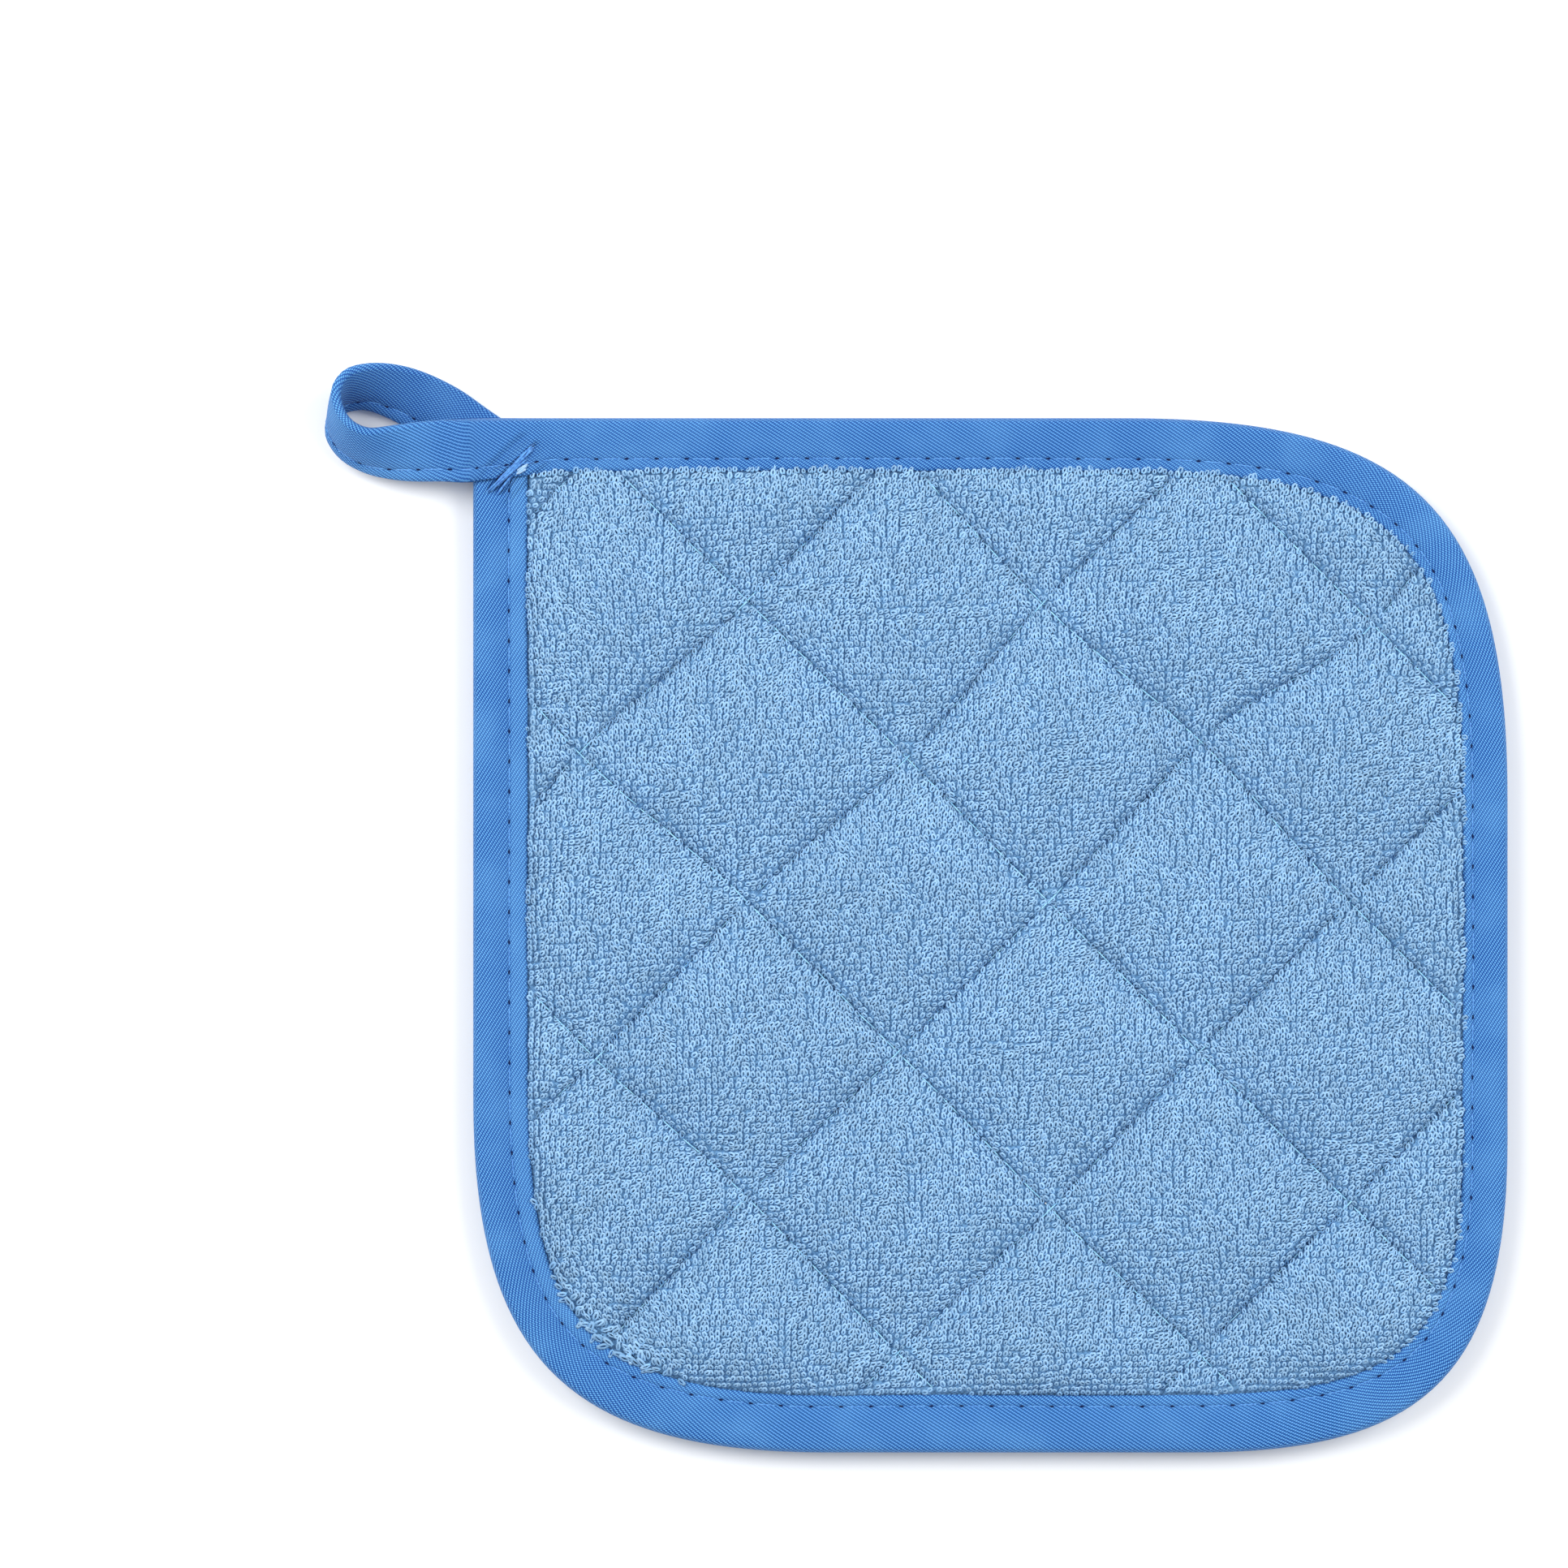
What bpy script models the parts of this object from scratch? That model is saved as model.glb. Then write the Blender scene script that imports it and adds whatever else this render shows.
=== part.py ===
# A square quilted pot holder that lies face up on z = 0: a terry front and a silvered back, quilted
# together in diamonds, bound round the edge with folded tape whose end runs on as a hanging loop.
# Lengths are millimetres from the middle of the pad, and become metres where a mesh is made.
# X runs to the right, Y towards the edge beside the loop, Z up.
import math

import bmesh
import bpy
import numpy as np
from mathutils import Vector
from mathutils.geometry import delaunay_2d_cdt

MM = 0.001
WELD = 0.002         # points nearer than this become one
SHARP_ANGLE = 50     # degrees: edges that turn more stay sharp

# Outline. The corner with the loop is square. The others bend from "reach" before the square
# corner, and "pull" is how far the bend is drawn out towards it.
SIDE = 203.0
BENDS = {
    "bottom_left": {"reach": 69.5, "pull": 0.735},
    "bottom_right": {"reach": 61.0, "pull": 0.742},
    "top_right": {"reach": 74.5, "pull": 0.757},
}
TAPE_STEPS = {"side_step": 15.0, "bend_steps": 13}
PANEL_STEPS = {"side_step": 5.0, "bend_steps": 18}

# Heights above the table.
GAP = 0.3            # between pieces
SEWN_LEVEL = 4.5     # where the two panels meet
TERRY_CROWN = 9.4
TERRY_SEAM = 6.0
BACK_SEAM = 2.7
RIM_CLOTH = 0.8      # either panel, pressed thin inside the binding

# Binding: tape folded over the edge. Its leaves show a different width on each side of the pad.
LEAF_WIDTH = {"left": 10.8, "bottom": 11.4, "right": 9.0, "top": 10.5}
LEAF_THICK = 1.15
LEAF_CROWN = 0.15    # how much the upper leaf swells
LEAF_LIP = 0.15      # how far a leaf's free edge leans back
LIP_ROUND = 0.3      # how much it is rounded off
FOLD_THICK = 2.0     # cloth of the tape at the pad's very edge
PANEL_INSET = FOLD_THICK + GAP
# The fold's round, from the leaf out to the very edge: inset, and share of the half thickness.
FOLD_ROUND = ((1.1, 0.81), (0.25, 0.45), (0.0, 0.0))
# Where the leaves' flats begin and end, as shares of the leaf's width.
FLAT_START = 0.36
UPPER_FLAT_END = 0.72
LOWER_FLAT_END = 0.8

# Quilting: seams run both ways along the diagonals. "falling" seams are at whole numbers of p
# and "rising" seams at whole numbers of q.
PITCH = 59.0
CROSSING = Vector((11.3, 6.6))
# Crossings that are sewn off the lattice, and how far.
STRAYS = (
    {"p": 2, "q": 0, "x": 4.6, "y": -4.6},
    {"p": -1, "q": -2, "x": -3.4, "y": -0.4},
    {"p": 0, "q": -1, "x": 1.8, "y": -1.4},
    {"p": 1, "q": -1, "x": -1.1, "y": -0.6},
    {"p": 1, "q": 0, "x": 0.4, "y": 1.8},
    {"p": -2, "q": -1, "x": -0.2, "y": -1.3},
    {"p": -2, "q": 0, "x": -0.2, "y": 1.2},
    {"p": -1, "q": 1, "x": 0.5, "y": -1.2},
)
PUFF_POWER = 2.7             # how steeply a diamond swells from its seams
RIM_REACH = 15.0             # how far from the binding it takes to swell
RIM_RINGS = (0.4, 1.8, 4.2, 7.6)
SEAM_START = 0.9             # from the binding to the first point of a seam
INNER_NET = 9.6              # from the binding to the first diagonal net lines
# Net lines across a diamond, as shares of its side, closer together beside the seams.
TERRY_NET = (0.0, 0.055, 0.14, 0.27, 0.42, 0.58, 0.73, 0.86, 0.945)
BACK_NET = (0.0, 0.08, 0.25, 0.42, 0.58, 0.75, 0.92)
PRESSED = 0.35               # how much of the back's swell the table presses flat
PLACE_ROUNDS = 12            # rounds it takes to find a point's place on the strayed lattice
NET_MERGE = 0.01             # points of a net nearer than this become one

# Corner lap: over this much of both sides the tape's end crosses its start and presses it down.
LAP_TOP = 13.4
LAP_LEFT = 12.8
LAP_SLOPE = 0.15
LAP_DROP = 0.9

# Hanging loop: sections from the lap, round the loop, to its sewn end under the corner.
# "fold" is the tape's folded rim, "sewn" is its stitched rim.
LOOP_SECTIONS = (
    {"fold": (-88.2, 101.5, 7.1), "sewn": (-88.2, 90.2, 7.1), "thick": 1.2},
    {"fold": (-95.0, 101.5, 7.1), "sewn": (-95.0, 89.4, 7.1), "thick": 1.2},
    {"fold": (-102.6, 101.3, 7.1), "sewn": (-102.6, 88.9, 7.1), "thick": 1.3},
    {"fold": (-107.8, 101.0, 7.5), "sewn": (-107.6, 89.0, 6.6), "thick": 1.7},
    {"fold": (-113.0, 100.4, 8.8), "sewn": (-113.0, 89.2, 4.8), "thick": 1.8},
    {"fold": (-118.0, 99.5, 10.2), "sewn": (-118.2, 89.9, 3.3), "thick": 1.8},
    {"fold": (-122.0, 99.0, 11.1), "sewn": (-123.0, 91.4, 2.1), "thick": 1.8},
    {"fold": (-125.4, 100.6, 11.3), "sewn": (-127.3, 94.0, 1.7), "thick": 1.8},
    {"fold": (-127.3, 103.6, 11.3), "sewn": (-129.8, 97.8, 1.4), "thick": 1.8},
    {"fold": (-127.8, 107.3, 11.1), "sewn": (-129.4, 101.2, 1.1), "thick": 1.8},
    {"fold": (-125.7, 110.5, 10.2), "sewn": (-127.0, 103.2, 1.0), "thick": 1.8},
    {"fold": (-121.2, 111.8, 8.9), "sewn": (-122.9, 103.6, 1.0), "thick": 1.8},
    {"fold": (-116.0, 111.7, 6.6), "sewn": (-118.4, 101.9, 0.9), "thick": 1.8},
    {"fold": (-110.5, 110.3, 4.1), "sewn": (-113.7, 99.3, 0.9), "thick": 1.8},
    {"fold": (-104.3, 107.3, 1.9), "sewn": (-108.8, 96.4, 0.9), "thick": 1.8},
    {"fold": (-98.7, 103.4, 0.9), "sewn": (-104.4, 93.1, 0.9), "thick": 1.8},
    {"fold": (-92.8, 99.4, 0.9), "sewn": (-99.8, 89.9, 0.9), "thick": 1.8},
    {"fold": (-87.0, 95.4, 0.9), "sewn": (-95.4, 87.1, 0.9), "thick": 1.8},
)
LOOP_STEPS = 3               # stations from one section to the next
# Its outline across: share of the half width towards the fold, share of the half thickness.
LOOP_PROFILE = ((1.0, 0.0), (0.94, 0.8), (0.8, 1.0), (-0.8, 1.0), (-0.97, 0.7),
                (-0.97, -0.7), (-0.8, -1.0), (0.8, -1.0), (0.94, -0.8))

COLOURS = {
    "terry_front": {"colour": (0.19, 0.40, 0.70), "roughness": 0.95, "metallic": 0.0},
    "silver_back": {"colour": (0.66, 0.69, 0.72), "roughness": 0.45, "metallic": 0.3},
    "edge_binding": {"colour": (0.10, 0.33, 0.74), "roughness": 0.7, "metallic": 0.0},
    "hanging_loop": {"colour": (0.10, 0.33, 0.74), "roughness": 0.7, "metallic": 0.0},
}


def clear_scene():
    for item in list(bpy.data.objects):
        bpy.data.objects.remove(item, do_unlink=True)


def cloth_material(name, colour, roughness, metallic):
    material = bpy.data.materials.new(name)
    material.use_nodes = True
    shader = material.node_tree.nodes["Principled BSDF"]
    shader.inputs["Base Color"].default_value = (*colour, 1.0)
    shader.inputs["Roughness"].default_value = roughness
    shader.inputs["Metallic"].default_value = metallic
    return material


def add_piece(name, points, faces, holder):
    mesh = bpy.data.meshes.new(name)
    mesh.from_pydata([Vector(point) * MM for point in points], [], faces)
    shape = bmesh.new()
    shape.from_mesh(mesh)
    bmesh.ops.remove_doubles(shape, verts=shape.verts, dist=WELD * MM)
    bmesh.ops.recalc_face_normals(shape, faces=shape.faces)
    shape.to_mesh(mesh)
    shape.free()
    mesh.shade_smooth()
    mesh.set_sharp_from_angle(angle=math.radians(SHARP_ANGLE))
    mesh.materials.append(cloth_material(name, **COLOURS[name]))
    piece = bpy.data.objects.new(name, mesh)
    bpy.context.collection.objects.link(piece)
    piece.parent = holder
    return piece


def bend(corner, into, out, steps, reach, pull):
    """Points of one rounded corner, from the side that runs into it to the side that leaves."""
    start = corner - into * reach
    end = corner + out * reach
    handles = (start, start + into * reach * pull, end - out * reach * pull, end)
    points = []
    for step in range(steps + 1):
        t = step / steps
        weights = ((1 - t) ** 3, 3 * (1 - t) ** 2 * t, 3 * (1 - t) * t * t, t ** 3)
        points.append(sum((h * w for h, w in zip(handles, weights)), Vector((0, 0))))
    return points


def straight(start, end, step_length):
    """Points between two ends, without the ends."""
    steps = max(1, round((end - start).length / step_length))
    return [start.lerp(end, step / steps) for step in range(1, steps)]


def outline(side_step, bend_steps):
    """Stations round the pad against the clock, from the square corner down the left side.
    Each has its point and the direction of an inset of one."""
    half = SIDE / 2
    square = Vector((-half, half))
    down, right, up, left = Vector((0, -1)), Vector((1, 0)), Vector((0, 1)), Vector((-1, 0))
    lower_left = bend(Vector((-half, -half)), down, right, bend_steps, **BENDS["bottom_left"])
    lower_right = bend(Vector((half, -half)), right, up, bend_steps, **BENDS["bottom_right"])
    upper_right = bend(Vector((half, half)), up, left, bend_steps, **BENDS["top_right"])
    left_lap = [square + down * (LAP_LEFT + side * LAP_SLOPE) for side in (-1, 1)]
    top_lap = [square + right * (LAP_TOP + side * LAP_SLOPE) for side in (1, -1)]
    points = [square, *left_lap, *straight(left_lap[-1], lower_left[0], side_step), *lower_left]
    points += [*straight(lower_left[-1], lower_right[0], side_step), *lower_right]
    points += [*straight(lower_right[-1], upper_right[0], side_step), *upper_right]
    points += [*straight(upper_right[-1], top_lap[0], side_step), *top_lap]
    stations = [(square, Vector((1, -1)))]
    for before, point, after in zip(points, points[1:], points[2:] + points[:1]):
        along = (after - before).normalized()
        stations.append((point, Vector((-along.y, along.x))))
    return stations


def leaf_width(inward):
    """The leaf's width where the inset runs this way, blended round the corners."""
    across = LEAF_WIDTH["left" if inward.x > 0 else "right"]
    along = LEAF_WIDTH["bottom" if inward.y > 0 else "top"]
    share = inward.x ** 2 / inward.length_squared
    return across * share + along * (1 - share)


TAPE_STATIONS = outline(**TAPE_STEPS)
PANEL_STATIONS = outline(**PANEL_STEPS)


def fine_outline():
    """The outline at about one point a millimetre, with the inset direction at each."""
    points, inwards = [], []
    for (a, a_in), (b, b_in) in zip(PANEL_STATIONS, PANEL_STATIONS[1:] + PANEL_STATIONS[:1]):
        steps = max(1, round((b - a).length))
        for step in range(steps):
            points.append(a.lerp(b, step / steps))
            inwards.append(a_in.lerp(b_in, step / steps))
    return points, inwards


FINE_POINTS, FINE_INWARDS = fine_outline()
FINE_ARRAY = np.array(FINE_POINTS)


def past_leaf(point):
    """How far inside the binding's inner edge a point lies."""
    away = FINE_ARRAY - (point[0], point[1])
    nearest = int((away ** 2).sum(axis=1).argmin())
    inward = FINE_INWARDS[nearest]
    offset = Vector((point[0], point[1])) - FINE_POINTS[nearest]
    inset = math.copysign(offset.length, offset.dot(inward))
    return inset - leaf_width(inward)


def stray(p, q):
    """How far the cloth at p, q is sewn off the lattice."""
    move = Vector((0, 0))
    for row in STRAYS:
        away_p, away_q = abs(p - row["p"]), abs(q - row["q"])
        if away_p < 1 and away_q < 1:
            weight = (math.cos(away_p * math.pi / 2) * math.cos(away_q * math.pi / 2)) ** 2
            move += Vector((row["x"], row["y"])) * weight
    return move


def quilt_point(p, q):
    along = Vector(((p + q) / 2, (p - q) / 2)) * PITCH
    return CROSSING + along + stray(p, q)


def quilt_place(point):
    """p and q of a point: the inverse of quilt_point."""
    p = q = 0.0
    for _ in range(PLACE_ROUNDS):
        offset = (Vector(point) - CROSSING - stray(p, q)) / PITCH
        p, q = offset.x + offset.y, offset.x - offset.y
    return p, q


def puff(point):
    """0 along the seams and at the binding, 1 in the middle of a diamond."""
    share = 1.0
    for value in quilt_place(point):
        from_seam = 2 * abs(value - round(value))
        share *= 1 - (1 - from_seam) ** PUFF_POWER
    from_rim = min(1.0, max(0.0, (past_leaf(point) - RIM_RINGS[0]) / RIM_REACH))
    return share * (1 - (1 - from_rim) ** PUFF_POWER)


def net_lines(net):
    """Lattice values of the net's lines over the whole pad."""
    span = math.ceil(SIDE / PITCH)
    return [cell + share for cell in range(-span, span + 1) for share in net]


def quilted_sheet(net):
    """A flat net of triangles over the panel, with edges along the seams and the binding."""
    points, edges = [], []

    def add_line(line, closed):
        first = len(points)
        points.extend(line)
        count = len(line)
        edges.extend((first + i, first + i + 1) for i in range(count - 1))
        if closed:
            edges.append((first + count - 1, first))

    edge = [point + inward * PANEL_INSET for point, inward in TAPE_STATIONS]
    add_line(edge, closed=True)
    for extra in RIM_RINGS:
        ring = [point + inward * (leaf_width(inward) + extra) for point, inward in PANEL_STATIONS]
        add_line(ring, closed=True)
    lines = net_lines(net)
    seams = [line for line in lines if line == round(line)]
    for seam in seams:
        for swap in (False, True):
            run = [quilt_point(*((line, seam) if swap else (seam, line))) for line in lines]
            run = [point for point in run if past_leaf(point) > SEAM_START]
            add_line(run, closed=False)
    for p in lines:
        for q in lines:
            if p in seams or q in seams:
                continue
            point = quilt_point(p, q)
            if past_leaf(point) > INNER_NET:
                points.append(point)
    edge_face = [tuple(range(len(edge)))]
    flat, _, faces, *_ = delaunay_2d_cdt(points, edges, edge_face, 1, NET_MERGE)
    return flat, faces


def quilted_panel(name, flat_level, net, relief, holder):
    """A panel that is flat where it meets the other one, with its relief on the far face."""
    flat, faces = quilted_sheet(net)
    count = len(flat)
    links = {(a, b) for face in faces for a, b in zip(face, (*face[1:], face[0]))}
    border = {a: b for a, b in links if (b, a) not in links}
    walk = [next(iter(border))]
    while border[walk[-1]] != walk[0]:
        walk.append(border[walk[-1]])
    points = [(point.x, point.y, relief(point)) for point in flat]
    points += [(flat[i].x, flat[i].y, flat_level) for i in walk]
    below = {vertex: count + i for i, vertex in enumerate(walk)}
    solid = [tuple(face) for face in faces]
    solid += [(b, a, below[a], below[b]) for a, b in zip(walk, walk[1:] + walk[:1])]
    solid.append(tuple(below[i] for i in reversed(walk)))
    return add_piece(name, points, solid, holder)


def out_of_binding(point):
    """0 inside the binding, 1 where a panel has come out from between its leaves."""
    way = (past_leaf(point) - RIM_RINGS[0]) / (RIM_RINGS[1] - RIM_RINGS[0])
    return min(1.0, max(0.0, way))


def terry_level(point):
    pressed = SEWN_LEVEL + GAP / 2 + RIM_CLOTH
    seam = pressed + (TERRY_SEAM - pressed) * out_of_binding(point)
    return seam + (TERRY_CROWN - TERRY_SEAM) * puff(point)


def back_level(point):
    pressed = SEWN_LEVEL - GAP / 2 - RIM_CLOTH
    seam = pressed + (BACK_SEAM - pressed) * out_of_binding(point)
    return max(0.0, seam - (BACK_SEAM + PRESSED) * puff(point))


def swept(name, sections, closed, holder):
    """A body through sections of the same number of points."""
    count = len(sections[0])
    points = [point for section in sections for point in section]
    faces = []
    pairs = len(sections) if closed else len(sections) - 1
    for i in range(pairs):
        a, b = i * count, (i + 1) % len(sections) * count
        for j in range(count):
            k = (j + 1) % count
            faces.append((a + j, a + k, b + k, b + j))
    if not closed:
        faces.append(tuple(reversed(range(count))))
        faces.append(tuple(range(len(points) - count, len(points))))
    return add_piece(name, points, faces, holder)


def binding_profile(width, drop):
    """Inset and height round the folded tape, from under the upper leaf's free edge."""
    upper = SEWN_LEVEL + GAP / 2 + RIM_CLOTH + GAP
    lower = SEWN_LEVEL - GAP / 2 - RIM_CLOTH - GAP
    top = upper + LEAF_THICK - drop
    bottom = lower - LEAF_THICK
    middle = (top + bottom) / 2
    half = (top - bottom) / 2
    crown = top if drop else top + LEAF_CROWN
    lip = top if drop else top - LIP_ROUND
    over = [(inset, middle + half * share) for inset, share in FOLD_ROUND]
    under = [(inset, middle - half * share) for inset, share in reversed(FOLD_ROUND[:-1])]
    return (
        (width, upper),
        (width - LEAF_LIP, lip),
        (width * UPPER_FLAT_END, crown),
        (width * FLAT_START, crown),
        *over,
        *under,
        (width * FLAT_START, bottom),
        (width * LOWER_FLAT_END, bottom),
        (width - LEAF_LIP, bottom + LIP_ROUND),
        (width, lower),
        (FOLD_THICK, lower),
        (FOLD_THICK, upper),
    )


def edge_binding(holder):
    last = len(TAPE_STATIONS) - 1
    lapped = {0, 1, last}
    sections = []
    for number, (point, inward) in enumerate(TAPE_STATIONS):
        profile = binding_profile(leaf_width(inward), LAP_DROP if number in lapped else 0.0)
        section = []
        for inset, height in profile:
            place = point + inward * inset
            section.append((place.x, place.y, height))
        sections.append(section)
    return swept("edge_binding", sections, True, holder)


def smooth_between(rows, t):
    """A point at t from the second of four rows to the third, on a curve through all of them."""
    a, b, c, d = rows
    return 0.5 * (2 * b + (c - a) * t + (2 * a - 5 * b + 4 * c - d) * t * t
                  + (3 * b - a - 3 * c + d) * t ** 3)


def loop_stations():
    """Fold rim, stitched rim and thickness at even steps along the loop."""
    table = {
        "fold": [Vector(row["fold"]) for row in LOOP_SECTIONS],
        "sewn": [Vector(row["sewn"]) for row in LOOP_SECTIONS],
        "thick": [row["thick"] for row in LOOP_SECTIONS],
    }
    stations = []
    last = len(LOOP_SECTIONS) - 1
    for step in range(last * LOOP_STEPS + 1):
        first = min(step // LOOP_STEPS, last - 1)
        t = step / LOOP_STEPS - first
        picks = [min(max(first + k, 0), last) for k in (-1, 0, 1, 2)]
        stations.append({key: smooth_between([rows[i] for i in picks], t)
                         for key, rows in table.items()})
    return stations


def hanging_loop(holder):
    stations = loop_stations()
    middles = [(row["fold"] + row["sewn"]) / 2 for row in stations]
    sections = []
    for number, row in enumerate(stations):
        before = middles[max(number - 1, 0)]
        after = middles[min(number + 1, len(middles) - 1)]
        width = row["fold"] - row["sewn"]
        across = width.normalized()
        face = across.cross(after - before).normalized()
        half = width.length / 2
        thick = row["thick"] / 2
        section = [middles[number] + across * half * u + face * thick * v
                   for u, v in LOOP_PROFILE]
        sections.append([(point.x, point.y, max(point.z, 0.0)) for point in section])
    return swept("hanging_loop", sections, False, holder)


def build():
    clear_scene()
    holder = bpy.data.objects.new("pot_holder", None)
    bpy.context.collection.objects.link(holder)
    upper = SEWN_LEVEL + GAP / 2
    lower = SEWN_LEVEL - GAP / 2
    pieces = [
        quilted_panel("terry_front", upper, TERRY_NET, terry_level, holder),
        quilted_panel("silver_back", lower, BACK_NET, back_level, holder),
        edge_binding(holder),
        hanging_loop(holder),
    ]
    corners = [Vector(vertex.co) for piece in pieces for vertex in piece.data.vertices]
    for axis in (0, 1):
        values = [corner[axis] for corner in corners]
        holder.location[axis] = -(min(values) + max(values)) / 2


build()
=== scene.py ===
import math

import bmesh
import bpy
import numpy as np
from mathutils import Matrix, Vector, kdtree, noise
from mathutils.geometry import delaunay_2d_cdt


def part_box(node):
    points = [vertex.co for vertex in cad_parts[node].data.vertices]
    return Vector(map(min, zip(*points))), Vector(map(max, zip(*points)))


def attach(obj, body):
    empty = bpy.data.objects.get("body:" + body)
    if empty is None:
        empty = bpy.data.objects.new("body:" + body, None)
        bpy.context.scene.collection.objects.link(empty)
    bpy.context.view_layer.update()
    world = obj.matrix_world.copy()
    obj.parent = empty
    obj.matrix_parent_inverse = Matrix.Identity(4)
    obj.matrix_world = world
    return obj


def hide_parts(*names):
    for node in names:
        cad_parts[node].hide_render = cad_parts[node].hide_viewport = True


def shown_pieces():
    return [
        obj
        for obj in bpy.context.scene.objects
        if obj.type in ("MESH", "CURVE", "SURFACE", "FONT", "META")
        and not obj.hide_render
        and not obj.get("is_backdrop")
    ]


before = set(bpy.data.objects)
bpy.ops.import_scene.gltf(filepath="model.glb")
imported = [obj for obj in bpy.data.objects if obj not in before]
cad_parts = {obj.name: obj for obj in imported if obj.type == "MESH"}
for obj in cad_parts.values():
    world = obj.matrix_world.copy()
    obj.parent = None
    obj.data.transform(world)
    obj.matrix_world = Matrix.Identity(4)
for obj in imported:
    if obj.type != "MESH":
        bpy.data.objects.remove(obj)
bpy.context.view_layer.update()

# Every size below is in millimetres from the middle of the pad. rowPoints() turns them into metres.
mm = 0.001
bindingLow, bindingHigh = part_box("edge_binding")
padMiddle = np.array(((bindingLow.x + bindingHigh.x) / 2, (bindingLow.y + bindingHigh.y) / 2, 0.0))
halfSide = (bindingHigh.x - bindingLow.x) / 2 / mm


def rowPoints(points):
    return np.asarray(points, float) * mm + padMiddle


def linked(name, data):
    thing = bpy.data.objects.new(name, data)
    bpy.context.scene.collection.objects.link(thing)
    return thing


studio = {
    "frameWide": 307.6,           # how much the camera sees at the pad
    "frameMiddle": (-40.5, 29.7),
    "frameLevel": 5.0,
    "lens": 150.0,
    "farthest": 20.0,             # metres that the camera still sees
    "lamps": {                    # power, size and place in metres
        "key": (20.0, 1.1, (-1.0, 0.6, 1.15)),
        "fill": (16.0, 1.1, (1.1, 0.45, 1.15)),
    },
    "sky": 0.6, "skyTone": (0.95, 0.97, 1.0),
    "floorSize": 6000.0, "floorLevel": -0.2, "floorTone": (0.93, 0.935, 0.94),
}


def setStage():
    scene = bpy.context.scene
    scene.view_settings.view_transform = "Standard"
    camera = bpy.data.cameras.new("camera")
    camera.lens = studio["lens"]
    camera.clip_end = studio["farthest"]
    away = studio["frameWide"] * mm * camera.lens / camera.sensor_width
    scene.camera = linked("camera", camera)
    scene.camera.location = rowPoints((*studio["frameMiddle"], studio["frameLevel"])) + (0.0, 0.0, away)

    for name, (power, size, place) in studio["lamps"].items():
        light = bpy.data.lights.new(name, "AREA")
        light.shape = "DISK"
        light.energy = power
        light.size = size
        lamp = linked(name, light)
        lamp.location = place
        lamp.rotation_euler = (-Vector(place)).to_track_quat("-Z", "Y").to_euler()

    scene.world = bpy.data.worlds.new("studio")
    scene.world.use_nodes = True
    sky = scene.world.node_tree.nodes["Background"]
    sky.inputs["Color"].default_value = (*studio["skyTone"], 1.0)
    sky.inputs["Strength"].default_value = studio["sky"]

    bpy.ops.mesh.primitive_plane_add(size=studio["floorSize"] * mm,
                                     location=(0.0, 0.0, studio["floorLevel"] * mm))
    floor = bpy.context.object
    floor.name = "floor"
    paint = Finish("floor", Base_Color=(*studio["floorTone"], 1.0), Roughness=0.9, Specular_IOR_Level=0.1)
    floor.data.materials.append(paint.material)
    floor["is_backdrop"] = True
    print("stage set")


def addNode(tree, kind, settings=None, values=None):
    node = tree.nodes.new(kind)
    for name, value in (settings or {}).items():
        setattr(node, name, value)
    for name, value in (values or {}).items():
        if isinstance(value, Value):
            tree.links.new(value.socket, node.inputs[name])
        else:
            node.inputs[name].default_value = value
    return node


def operator(operation, reflected=False):
    def work(self, *others):
        return self.maths(operation, *((*others, self) if reflected else (self, *others)))
    return work


class Value:
    # a socket that works in Python expressions, in shader and geometry trees alike
    def __init__(self, tree, socket):
        self.tree, self.socket = tree, socket

    def maths(self, operation, *numbers):
        node = addNode(self.tree, "ShaderNodeMath", {"operation": operation}, dict(enumerate(numbers)))
        return Value(self.tree, node.outputs[0])

    __add__ = __radd__ = operator("ADD")
    __mul__ = __rmul__ = operator("MULTIPLY")
    __sub__, __rsub__ = operator("SUBTRACT"), operator("SUBTRACT", reflected=True)
    __truediv__, __pow__ = operator("DIVIDE"), operator("POWER")
    fraction, size = operator("FRACT"), operator("ABSOLUTE")
    sine, cosine = operator("SINE"), operator("COSINE")

    def between(self, low, high):
        # 0 at low, 1 at high, smooth in between
        node = addNode(self.tree, "ShaderNodeMapRange", {"interpolation_type": "SMOOTHSTEP"},
                       {"Value": self, "From Min": low, "From Max": high})
        return Value(self.tree, node.outputs["Result"])


class Nodes:
    # short ways to build in one node tree
    def __init__(self, tree):
        self.tree = tree

    def node(self, kind, settings=None, values=None, output=0):
        return Value(self.tree, addNode(self.tree, kind, settings, values).outputs[output])

    def vector(self, x, y, z):
        return self.node("ShaderNodeCombineXYZ", {}, {0: x, 1: y, 2: z})


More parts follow.
